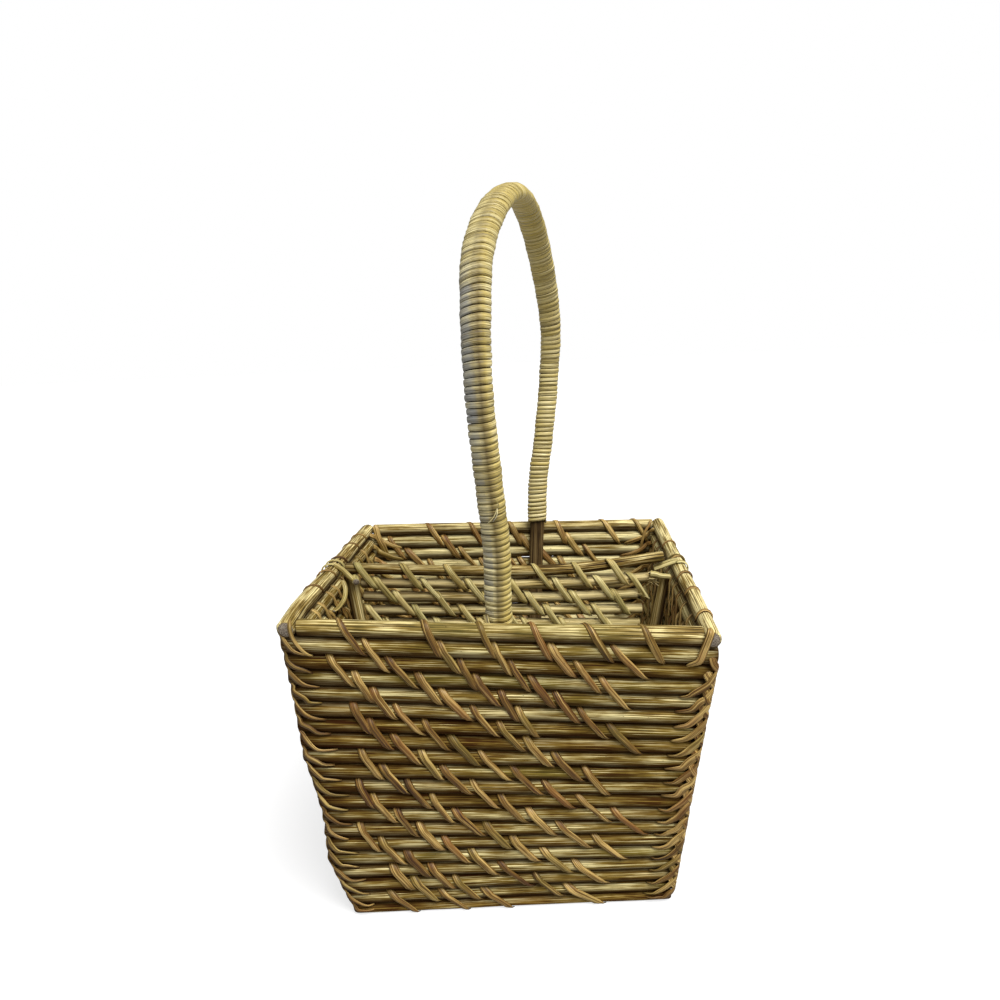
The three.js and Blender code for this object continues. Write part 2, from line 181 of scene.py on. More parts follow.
def placed(name: str, data: bpy.types.ID) -> Piece:
    """A new object in the scene, made from a mesh, a lamp or a camera."""
    piece = bpy.data.objects.new(name, data)
    bpy.context.scene.collection.objects.link(piece)
    return piece


@dataclass
class Tubes:
    """Closed tubes that are worked out together, all with the same number of points."""

    points: Array  # (tubes, rings, around, 3)
    along: Array  # (tubes, rings) distance along each tube
    across: Array  # (around + 1,) distance round the tube
    tone: Array  # (tubes,) 0 dark to 1 pale
    warmth: Array  # (tubes, rings, around) 0 grey-green to 1 orange
    shade: Array  # (tubes, rings, around) 0 open to 1 in a groove

    @property
    def counts(self) -> tuple[int, int, int]:
        """Number of tubes, of rings and of points round a ring."""
        return self.points.shape[:3]


class CaneMesh:
    """Gathers closed tubes and makes them one Blender object."""

    def __init__(self, name: str) -> None:
        """Starts an empty mesh under the finished piece's name."""
        self.name = name
        self.batches: list[Tubes] = []

    def add(self, tubes: Tubes) -> "CaneMesh":
        """Adds a batch of tubes and returns the mesh itself."""
        self.batches.append(tubes)
        return self

    @staticmethod
    def _faces(tubes: Tubes, first: int) -> tuple[Array, Array, Array, Array]:
        """The faces of one batch.

        A quad joins ring i to ring i + 1 at each step j round the ring, and a fan of triangles closes
        each end on a middle point.

        Args:
            tubes: the batch.
            first: index of the batch's first point.

        Returns:
            Quad corners, quad texture corners, triangle corners and triangle texture corners.
        """
        count, rings, around = tubes.counts
        ring = first + around * np.arange(count * rings).reshape(count, rings, 1)
        here = np.arange(around)
        there = (here + 1) % around
        low, high = ring[:, :-1], ring[:, 1:]
        quads = np.stack([low + here, low + there, high + there, high + here], -1).reshape(-1, 4)
        places = (tubes.along[:, :, None], tubes.across[:-1], tubes.across[1:])
        u, v, w = (np.broadcast_to(place, tubes.counts) for place in places)
        corners = [(u[:, :-1], v[:, :-1]), (u[:, :-1], w[:, :-1]), (u[:, 1:], w[:, 1:]), (u[:, 1:], v[:, 1:])]
        quad_uv = np.stack([np.stack(pair, -1) for pair in corners], 3).reshape(-1, 4, 2)
        middles = first + count * rings * around + np.arange(count)[:, None]
        start, end = ring[:, 0], ring[:, -1]
        ends = [(middles, start + there, start + here), (middles + count, end + here, end + there)]
        fans = [np.stack(np.broadcast_arrays(*end), -1).reshape(-1, 3) for end in ends]
        turn = 2 * np.pi * here / around
        spot = np.stack([np.cos(turn), np.sin(turn)], -1) * tubes.across[-1] / (2 * np.pi)
        fan_uv = np.zeros((2 * count, around, 3, 2))
        fan_uv[..., 1, :] = spot
        fan_uv[..., 2, :] = np.roll(spot, -1, 0)
        return quads, quad_uv, np.concatenate(fans), fan_uv.reshape(-1, 3, 2)

    def build(self, shape: "HandShape") -> Piece:
        """Makes the Blender object.

        Args:
            shape: what the piece's points go through last.

        Returns:
            The object, at the origin, with its place in its mesh.
        """
        points, values, quads, quad_uvs, fans, fan_uvs = [], [], [], [], [], []
        first = 0
        for tubes in self.batches:
            count, rings, around = tubes.counts
            middles = tubes.points[:, [0, -1]].mean(2).transpose(1, 0, 2).reshape(-1, 3)
            points.append(np.concatenate([tubes.points.reshape(-1, 3), middles]))
            tone = np.broadcast_to(tubes.tone[:, None, None], (count, rings, around))
            skin = np.stack([tone, tubes.warmth, tubes.shade, np.zeros_like(tone)], -1).reshape(-1, 4)
            flat = np.zeros(2 * count)
            cut = np.stack([np.tile(tubes.tone, 2), flat + 0.5, flat, flat + 1], -1)
            values.append(np.concatenate([skin, cut]))
            for store, part in zip((quads, quad_uvs, fans, fan_uvs), self._faces(tubes, first)):
                store.append(part)
            first += len(points[-1])
        place = shape.bend(np.concatenate(points))
        quad, fan = np.concatenate(quads), np.concatenate(fans)
        mesh = bpy.data.meshes.new(self.name)
        mesh.vertices.add(len(place))
        mesh.vertices.foreach_set("co", place.astype(np.float32).ravel())
        mesh.loops.add(quad.size + fan.size)
        mesh.loops.foreach_set("vertex_index", np.concatenate([quad.ravel(), fan.ravel()]).astype(np.int32))
        mesh.polygons.add(len(quad) + len(fan))
        starts = np.concatenate([4 * np.arange(len(quad)), quad.size + 3 * np.arange(len(fan))])
        mesh.polygons.foreach_set("loop_start", starts.astype(np.int32))
        mesh.update(calc_edges=True)
        layer = mesh.uv_layers.new(name="fibre")
        uv = np.concatenate([np.concatenate(quad_uvs).ravel(), np.concatenate(fan_uvs).ravel()])
        layer.data.foreach_set("uv", uv.astype(np.float32))
        merged = np.concatenate(values)
        for k, name in enumerate(("tone", "warmth", "shade", "cut")):
            attribute = mesh.attributes.new(name, "FLOAT", "POINT")
            attribute.data.foreach_set("value", merged[:, k].astype(np.float32))
        mesh.polygons.foreach_set("use_smooth", np.ones(len(mesh.polygons), bool))
        mesh.validate()
        return placed(self.name, mesh)


@dataclass(frozen=True)
class HandShape:
    """The hand-made basket's departures from an even one, and the even one's sizes that they follow."""

    half_foot: float  # half the width at the lowest rods
    half_rim: float  # half the width at the rim rods
    height: float
    front_tilt: float = 5.0 * MM  # the front rim's left end is this much higher, its right end lower
    back_tilt: float = 1.6 * MM  # the same at the back
    front_lift: float = 0.3 * MM  # how much higher the middle of the front rim stands
    back_lift: float = 1.0 * MM  # the same at the back
    rim_shear: float = 5.9 * MM  # the back rim stands this far to the right
    spread: float = 0.4 * MM  # how far the side walls stand out at the foot
    rim_spread: float = 2.6 * MM  # how much farther they do so at the rim
    back_spread: float = 0.9 * MM  # and at the rim's back
    # How far the left wall swells near the front, in millimetres, at shares of the height.
    left_swell: tuple[Pair, ...] = (
        (0, 0), (0.1, 3.1), (0.22, 6.2), (0.38, 3.8), (0.58, 5.2), (0.8, 2.5), (1, 0.6)
    )
    swell_fade: float = 0.6  # how much less the left wall swells at the back
    rim_bow: float = 1.9 * MM  # how far the left rim bows outwards behind its front end
    bow_start: float = 0.15  # share of the depth over which that bow sets in
    right_sag: float = 3.9 * MM  # how far the front rods' right ends hang down halfway up
    left_sag: float = 2.9 * MM  # the same for their left ends, near the foot
    # For each sag, the powers of the height's share and of the sine.
    right_wave: Pair = (0.87, 0.6)
    left_wave: Pair = (0.4, 1.6)
    foot_kick: float = 2.6 * MM  # how far the front wall's left foot stands forward

    def bend(self, points: Array) -> Array:
        """Moves points from the even basket to the hand-made one.

        With u from -1 at the left wall to 1 at the right one and w as the share of the height, the rim
        tilts by -u w, the front rods sag by sin(pi w^a)^b with powers of their own at each end, the
        back of the rim moves right, both side walls stand out by u, and the left wall swells by its
        own curve times the cube of -u. Nothing sinks into the ground.

        Args:
            points: places on the even basket, shaped (..., 3).

        Returns:
            Places of the same shape.
        """
        x, y, z = points[..., 0], points[..., 1], points[..., 2]
        w = np.clip(z / self.height, 0, 1)
        half = self.half_foot + (self.half_rim - self.half_foot) * w
        u = np.clip(x / half, -1.1, 1.1)
        back = (1 + np.clip(y / half, -1, 1)) / 2
        front = (1 - back) ** 2
        left, right = (1 - u) / 2, (1 + u) / 2
        rise = w * (self.front_lift + (self.back_lift - self.front_lift) * back)
        rise = rise - u * w * (self.front_tilt + (self.back_tilt - self.front_tilt) * back)
        waves = (self.right_wave, self.left_wave)
        high_wave, low_wave = (np.maximum(np.sin(np.pi * w**skew), 0) ** power for skew, power in waves)
        rise = rise - front * (self.right_sag * right * high_wave + self.left_sag * left * low_wave)
        heights, swells = np.array(self.left_swell).T
        swell = MM * np.interp(w, heights, swells) * (1 - self.swell_fade * back)
        swell = swell + self.rim_bow * w**3 * ramp(back, 0, self.bow_start)
        widen = u * (self.spread + self.rim_spread * w**3 + self.back_spread * w * back)
        move_x = self.rim_shear * w * back + widen - swell * np.clip(-u, 0, 1) ** 3
        move_y = -self.foot_kick * front * left * (1 - w) ** 2
        return np.stack([x + move_x, y + move_y, np.maximum(z + rise, 0)], -1)


@dataclass(frozen=True)
class CaneRow:
    """A run of straight canes, each from its own start to its own end."""

    rings: int = 56
    around: int = 18
    end_reach: Numbers = (0, 0.22 * MM, 0.6 * MM, 1.2 * MM)
    end_round: Numbers = (0.85, 0.94, 0.985, 1)
    ridge_orders: tuple[int, ...] = (2, 3, 5, 8)
    ridge_sizes: Numbers = (0.016, 0.013, 0.011, 0.008)
    ridge_twist: float = 0.9  # how far the ridges turn along a cane, in radians
    bow: float = 0.22 * MM  # how far a cane strays from its straight line
    girth_drift: float = 0.022  # slow change of the radius along a cane, as a share of it
    joint_swell: float = 0.035  # swelling at a cane's joint, as a share of the radius
    joint_share: float = 0.45  # share of canes that show a joint
    joint_length: float = 2.4 * MM
    joint_range: Pair = (0.1, 0.9)  # where along a cane a joint may sit
    shade_reach: float = 0.45  # how far up from the seam a neighbour's painted shade comes
    end_painted_shade: float = 0.0  # how much painted shade darkens the ends
    end_painted_shade_length: float = 2.6 * MM
    start_painted_shade: float = 0.0  # how much painted shade darkens the canes at their start, fading along them
    start_painted_shade_length: float = 55 * MM
    warmth_spread: float = 0.12  # between canes
    warmth_drift: float = 0.14  # along one cane

    def build(
        self, start: Array, end: Array, seam: Array, radii: Array, grooves: Array, rng: Random,
        tone: Pair = (0.2, 0.85),
    ) -> Tubes:
        """Works out the canes.

        A point is the axis from start to end, plus a slow bow, plus the radius times the direction at
        its angle. The radius runs from one end's to the other's and carries ridges, the sum of
        a_k cos(k angle + phase + drift), and a bell-shaped joint.

        Args:
            start: where each cane's axis starts, (canes, 3).
            end: where it ends, (canes, 3).
            seam: unit direction of angle zero, (canes, 3).
            radii: radius at the start and at the end, (canes, 2).
            grooves: how far neighbours shade the seam's side and the side across from it, (canes, 2).
            rng: the source of the canes' differences.
            tone: darkest and palest tone of the canes.

        Returns:
            The tubes.
        """
        count = len(start)
        length = np.linalg.norm(end - start, axis=1)[:, None]
        reach = np.array(self.end_reach)
        inner = np.linspace(0, 1, self.rings - 2 * len(reach) + 2)[1:-1]
        middle = reach[-1] + inner * (length - 2 * reach[-1])
        along = np.concatenate([np.tile(reach, (count, 1)), middle, length - reach[::-1]], 1)
        t = along / length
        rounding = np.concatenate([self.end_round, np.ones(len(inner)), self.end_round[::-1]])
        axis = unit(end - start)[:, None]
        seam = unit(seam[:, None] - (seam[:, None] * axis).sum(-1, keepdims=True) * axis)
        side = np.cross(axis, seam)
        ease = np.sin(np.pi * t)
        sag, sway = (self.bow * (ease * wander(rng, count, t, 3))[..., None] * way for way in (seam, side))
        centre = start[:, None] + (end - start)[:, None] * t[..., None] + sag + sway
        angle = 2 * np.pi * np.arange(self.around) / self.around
        ridges = np.ones((count, self.rings, self.around))
        for order, size in zip(self.ridge_orders, self.ridge_sizes):
            phase = rng.uniform(0, 2 * np.pi, (count, 1, 1))
            twist = rng.normal(0, self.ridge_twist, (count, 1, 1)) * t[..., None]
            ridges += size * np.cos(order * angle + phase + twist)
        joint_at = rng.uniform(*self.joint_range, (count, 1)) * length
        bell = np.exp(-(((along - joint_at) / self.joint_length) ** 2))
        joints = (rng.uniform(size=(count, 1)) < self.joint_share) * bell
        girth = radii[:, :1] + (radii[:, 1:] - radii[:, :1]) * t
        drift = self.girth_drift * wander(rng, count, t, 5)
        girth = girth * (1 + drift + self.joint_swell * joints) * rounding
        radius = (girth[..., None] * ridges)[..., None]
        turn = np.cos(angle)[:, None] * seam[:, :, None] + np.sin(angle)[:, None] * side[:, :, None]
        points = centre[:, :, None] + radius * turn
        # Painted shade on the sides that face neighbouring canes, at the ends and towards the start.
        near = np.clip((np.cos(angle) + self.shade_reach) / 1.1, 0, 1) * grooves[:, 0, None]
        far = np.clip((-np.cos(angle) - 0.5) / 0.5, 0, 1) * grooves[:, 1, None]
        ends = self.end_painted_shade * np.exp(-np.minimum(along, length - along) / self.end_painted_shade_length)
        ends = ends + self.start_painted_shade * np.exp(-along / self.start_painted_shade_length)
        shade = np.clip((near + far)[:, None] + ends[..., None], 0, 1)
        warm = 0.5 + rng.normal(0, self.warmth_spread, (count, 1))
        warm = np.clip(warm + self.warmth_drift * wander(rng, count, t, 6), 0, 1)
        return Tubes(
            points=points,
            along=along + rng.uniform(0, GRAIN_SHIFT, (count, 1)),
            across=np.linspace(0, 2 * np.pi, self.around + 1) * radii.mean(),
            tone=rng.uniform(*tone, count),
            warmth=np.broadcast_to(warm[..., None], points.shape[:3]),
            shade=shade,
        )


@dataclass(frozen=True)
class StripSection:
    """The cross-section of a split-cane strip: a low crown over a nearly flat back."""

    thickness: float = 0.62 * MM
    wide: Numbers = (0.5, 0.34, 0, -0.34, -0.5, -0.3, 0, 0.3)
    high: Numbers = (0.15, 0.72, 1, 0.72, 0.15, 0, 0.06, 0)
    girth: float = 2.3  # distance round the section, in widths
    painted_shade: Numbers = (0,)  # painted shade at each point of the section, or one value for all
    warmth_spread: float = 0.22  # between strips
    warmth_drift: float = 0.25  # along one strip

    def sweep(
        self, path: Array, normal: Array, width: Array | float, rng: Random,
        shade: Array | float = 0.0, tone: Pair = (0.15, 0.9),
    ) -> Tubes:
        """Carries the section along paths.

        At each ring the strip's width lies across the path and the normal, and its crown points along
        the normal. Normal, width and shade may also be one for all rings or for all strips.

        Args:
            path: middle of the strips' backs, (strips, rings, 3).
            normal: roughly where the crown faces, (strips, rings, 3).
            width: width at each ring, (strips, rings).
            rng: the source of the strips' differences.
            shade: how dark each ring lies, (strips, rings).
            tone: darkest and palest tone of the strips.

        Returns:
            The tubes.
        """
        count, rings = path.shape[:2]
        width, shade = (np.broadcast_to(part, (count, rings)) for part in (width, shade))
        tangent = unit(np.gradient(path, axis=1))
        broad = unit(np.cross(normal, tangent))
        crown = np.cross(tangent, broad)
        wide, high = np.array(self.wide), np.array(self.high)
        sideways = (width[..., None] * wide)[..., None] * broad[:, :, None]
        outward = (self.thickness * high)[:, None] * crown[:, :, None]
        along = running_sum(np.linalg.norm(np.diff(path, axis=1), axis=2))
        warm = 0.5 + rng.normal(0, self.warmth_spread, (count, 1))
        warm = np.clip(warm + self.warmth_drift * wander(rng, count, np.linspace(0, 1, rings), 2), 0, 1)
        spread = (count, rings, len(wide))
        return Tubes(
            points=path[:, :, None] + sideways + outward,
            along=along + rng.uniform(0, GRAIN_SHIFT, (count, 1)),
            across=np.linspace(0, self.girth, len(wide) + 1) * width.max(),
            tone=rng.uniform(*tone, count),
            warmth=np.broadcast_to(warm[..., None], spread),
            shade=np.broadcast_to(np.clip(shade[..., None] + np.array(self.painted_shade), 0, 1), spread),
        )


@dataclass(frozen=True)
class Wall:
    """One leaning wall as a plane with its own directions."""

    name: str
    turn: float  # degrees round the basket, anticlockwise from the front
    foot: Array  # distance out and height of the base rod's axis
    top: Array  # distance out and height of the rim rod's axis
    half_foot: float  # half the length of the base rod
    half_top: float  # half the length of the rim rod
    courses: int
    rod_radius: float

    @property
    def slope(self) -> Array:
        """Unit direction up the wall, as distance out and height."""
        return unit(self.top - self.foot)

    @property
    def pitch(self) -> float:
        """Distance between two neighbouring rods."""
        return np.linalg.norm(self.top - self.foot) / (self.courses - 1)

    def half(self, course: Array) -> Array:
        """Half the length of the rod of a course, counted from the base rod as 0."""
        return self.half_foot + (self.half_top - self.half_foot) * course / (self.courses - 1)

    def half_corner(self, course: Array | float) -> Array:
        """Distance from the wall's middle to the basket's corner, at a course."""
        return self.foot[0] + self.rod_radius + course * self.pitch * self.slope[0]

    def axes(self) -> tuple[Array, Array]:
        """Unit directions to the right, seen from outside, and level outwards."""
        angle = math.radians(self.turn)
        right = np.array([math.cos(angle), math.sin(angle), 0.0])
        return right, np.array([math.sin(angle), -math.cos(angle), 0.0])

    def normal(self) -> Array:
        """Unit direction square to the wall, outwards."""
        _, out = self.axes()
        return self.slope[1] * out - self.slope[0] * UP

    def up(self) -> Array:
        """Unit direction up the wall."""
        _, out = self.axes()
        return self.slope[0] * out + self.slope[1] * UP

    def place(self, x: Array, course: Array, lift: Array) -> Array:
        """Points of the wall.

        The point is the foot, plus x to the right, plus course times the pitch up the wall, plus the
        lift along the normal.

        Args:
            x: distance to the right of the wall's middle, seen from outside.
            course: height up the wall, in rods from the base rod's axis.
            lift: distance outwards from the rods' axes.

        Returns:
            The points, shaped as the inputs with 3 added.
        """
        x, course, lift = np.broadcast_arrays(x, course, lift)
        right, out = self.axes()
        foot = self.foot[0] * out + self.foot[1] * UP
        rise = (course * self.pitch)[..., None] * self.up()
        return foot + x[..., None] * right + rise + lift[..., None] * self.normal()


@dataclass(frozen=True)
class Chain:
    """One row of back stitches that steps down a wall, one rod and some way to the right each time."""

    top: int  # course of the first stitch's upper rod
    start: float  # place of the first stitch, right of the wall's middle
    count: int
    run: float = 6.8 * MM  # first step to the right
    growth: float = 0.8 * MM  # how much each step is longer than the one before it
    jitter: float = 0.7 * MM  # how far each stitch strays from its place


@dataclass(frozen=True)
class Stitching:
    """Turns chains into strips that lie over two rods each."""

    width: float = 2.9 * MM
    lift: float = 0.12 * MM  # air between a rod and the strip over it
    rim_lift: float = -0.22 * MM  # the same on the rim, whose cane is thinner
    lean: float = 2.0 * MM  # how far a stitch runs on past the start of the next one
    section: StripSection = StripSection()
    # Degrees round the upper rod, up from its front, and the strip's widths there, as shares.
    over_angles: Numbers = (84, 56, 28, 2)
    over_widths: Numbers = (0.75, 0.96, 1.04, 1)
    end_widths: Numbers = (0.95, 0.78, 0.45, 0.14)  # round the lower rod
    rim_angles: Numbers = (196, 168, 140, 112, 84, 56, 28, 2)  # round the rim rod
    rim_widths: Numbers = (0.3, 0.6, 0.75, 0.8, 0.85, 0.9, 0.97, 1)
    foot_angle: float = 46  # how far a strip goes under the lowest rod, in degrees
    ride_jitter: float = 0.18 * MM  # how much farther out some strips lie than others
    dip: float = 0.25 * MM  # how far a strip sinks in between its two rods
    lag: Pair = (1.05, 1.35)  # range of the power by which the sideways run lags behind the length
    twist: Pair = (0.2, -0.15)  # how far the strip's face turns up at its start and end, in radians
    twist_jitter: float = 0.12
    width_range: Pair = (0.82, 1.12)  # between strips, as shares of the width
    # A strip lies in shade where it is narrow: this much, less the slope times its width's share.
    shade_level: float = 1.15
    shade_slope: float = 1.2

    def places(self, chains: list[Chain], rng: Random) -> Array:
        """Top course, start and run of every stitch, as rows of an array."""
        rows = []
        for chain in chains:
            k = np.arange(chain.count + 1)
            start = chain.start + chain.run * k + chain.growth * k * (k - 1) / 2
            start = start + rng.normal(0, 1, len(k)) * chain.jitter
            rows.append(np.stack([chain.top - k[:-1], start[:-1], np.diff(start) + self.lean], 1))
        return np.concatenate(rows)

    def build(self, wall: Wall, face: Face, chains: list[Chain], rng: Random) -> list[Tubes]:
        """Works out all stitches on one face of a wall.

        In a section square to the rods, a stitch follows a circle round its upper rod from the groove
        above it to its crest, goes straight to the crest of the next rod, and follows that rod into
        the groove below it. Sideways it moves in step with its length. On the rim it starts behind the
        rim rod instead and comes over its top.

        Args:
            wall: the wall.
            face: the side that the stitches lie on.
            chains: the rows of stitches.
            rng: the source of the stitches' differences.

        Returns:
            Two batches: the stitches over the rim, and the others.
        """
        places = self.places(chains, rng)
        on_rim = places[:, 0] == wall.courses - 1
        sets = (
            (places[on_rim], self.rim_angles, self.rim_widths),
            (places[~on_rim], self.over_angles, self.over_widths),
        )
        return [self._strips(wall, face, *parts, rng) for parts in sets if len(parts[0])]

    def _strips(
        self, wall: Wall, face: Face, rows: Array, angles: Numbers, widths: Numbers, rng: Random
    ) -> Tubes:
        """The strips of stitches that share one set of angles round the upper rod."""
        count = len(rows)
        top, start, run = rows[:, :1], rows[:, 1:2], rows[:, 2:]
        end_angles = -np.radians(self.over_angles[::-1])
        reach = np.where(top <= 1, self.foot_angle / self.over_angles[0], 1.0)
        over = np.broadcast_to(np.radians((*angles, 0.0)), (count, len(angles) + 1))
        turn = np.concatenate([over, end_angles * reach], 1)
        rod = np.concatenate([np.zeros(len(angles)), [0.5], np.ones(len(end_angles))])
        lift = np.where((top == wall.courses - 1) & (rod == 0), self.rim_lift, self.lift)
        ride = wall.rod_radius + lift + rng.uniform(0, self.ride_jitter, (count, 1))
        rise = -rod * wall.pitch + ride * np.sin(turn)
        out = ride * np.cos(turn) - self.dip * (rod == 0.5)
        x = start + run * progress(rise, out) ** rng.uniform(*self.lag, (count, 1))
        path = wall.place(face.value * x, top + rise / wall.pitch, face.value * out)
        twist = rng.normal(0, self.twist_jitter, (count, 1)) + np.linspace(*self.twist, turn.shape[1])
        up_share, out_share = (part(turn + twist)[..., None] for part in (np.sin, np.cos))
        crown = up_share * wall.up() + face.value * out_share * wall.normal()
        profile = np.concatenate([widths, [1.0], self.end_widths])
        width = self.width * profile * rng.uniform(*self.width_range, (count, 1))
        shade = np.clip(self.shade_level - self.shade_slope * profile, 0, 1)
        return self.section.sweep(path, crown, width, rng, shade)


@dataclass(frozen=True)
class WallLook:
    """What the canes of one wall look like."""

    tone: Pair  # darkest and palest of the stacked canes
    top_tone: float  # of the cane under the rim
    rim_tone: Pair  # darkest and palest that the rim cane may be
    left_painted_shade: float = 0.0  # painted shade that darkens the left ends
    rim_shift: float = 0.0  # how far the rim cane's grain is moved along it


@dataclass
class WallBuild:
    """One wall's rods, rim cane and stitches."""

    wall: Wall
    shape: HandShape
    chains: list[Chain]
    inner_chains: list[Chain]
    seed: int
    through: bool  # the front's and the back's rods run through to the corners
    rim_radii: Pair  # of the rim cane's left and right end, seen from outside
    look: WallLook
    # The rods' ends get painted shade where they butt into the corners.
    canes: CaneRow = CaneRow(
        end_reach=(0.0, 0.3 * MM, 0.9 * MM, 2.0 * MM), end_round=(0.76, 0.88, 0.96, 1.0), end_painted_shade=0.9
    )
    # The rim cane's painted shade reaches farther up from its underside.
    rim_canes: CaneRow = CaneRow(shade_reach=0.55)
    stitching: Stitching = Stitching()
    top_girth: float = 1.1  # how much thicker the cane under the rim is
    radius_range: Pair = (0.985, 1.025)  # of the canes' ends, as shares of the rods' radius
    foot_groove: float = 0.3  # shade under the lowest cane
    inner_tone: Pair = (0.5, 0.6)  # the inner stitches' tone: this much, plus a share of the usual one
    end_jitter: float = 0.4 * MM
    corner_room: float = 0.1 * MM  # from a rod's end to the corner's edge, for the strip
    rim_reach: float = 0.9 * MM  # how much farther the front and back rim canes reach than their nodes

    def _row(self, courses: Array, radii: Array, grooves: Array, rng: Random, tone: Pair) -> Tubes:
        """The canes of some courses, from the wall's left end to its right end."""
        wall = self.wall
        # Painted shade that darkens the canes towards their left ends.
        canes = replace(self.canes, start_painted_shade=self.look.left_painted_shade)
        if courses[0] == wall.courses - 1:
            canes = self.rim_canes
            reach = wall.half(courses) + (self.rim_reach if self.through else 0)
        else:
            reach = wall.half_corner(courses) - self.corner_room
            reach = reach - (0 if self.through else 2 * wall.rod_radius)
        jitter = rng.uniform(-1, 0.3, (2, len(courses))) * self.end_jitter
        start = wall.place(-reach - jitter[0], courses, 0.0)
        end = wall.place(reach + jitter[1], courses, 0.0)
        seam = np.tile(-wall.up(), (len(courses), 1))
        return canes.build(start, end, seam, radii, grooves, rng, tone)

    def build(self, finishes: "Finishes") -> Pieces:
        """Makes the wall's pieces.

        Args:
            finishes: the materials.

        Returns:
            The stacked rods, the rim cane and the stitches.
        """
        rng = np.random.default_rng(self.seed)
        wall = self.wall
        courses = np.arange(wall.courses - 1, dtype=float)
        radii = wall.rod_radius * rng.uniform(*self.radius_range, (len(courses), 2))
        radii[-1] *= self.top_girth
        grooves = np.ones((len(courses), 2))
        grooves[0, 0] = self.foot_groove
        rods = self._row(courses, radii, grooves, rng, self.look.tone)
        rods.tone[-1] = self.look.top_tone
        stack = CaneMesh(wall.name + "_stacked_rods").add(rods)
        top = np.array([wall.courses - 1.0])
        cane = self._row(top, np.array([self.rim_radii]), np.array([[1.0, 0.0]]), rng, self.look.rim_tone)
        cane.along = cane.along + self.look.rim_shift
        rim = CaneMesh(wall.name + "_rim_cane").add(cane)
        strips = CaneMesh(wall.name + "_stitches")
        for face, chains in ((Face.OUTER, self.chains), (Face.INNER, self.inner_chains)):
            for batch in self.stitching.build(wall, face, chains, rng):
                if face is Face.INNER:
                    batch.tone = self.inner_tone[0] + self.inner_tone[1] * batch.tone
                strips.add(batch)
        parts = (
            (stack, finishes.rod, Slot.ROD, ("_base_rod", "_wall_rods")),
            (rim, finishes.rim, Slot.RIM, ("_rim_rod",)),
            (strips, finishes.strip, Slot.STRIP, ("_lacing",)),
        )
        return [
            finishes.dress(mesh.build(self.shape), material, slot, *(wall.name + end for end in nodes))
            for mesh, material, slot, nodes in parts
        ]


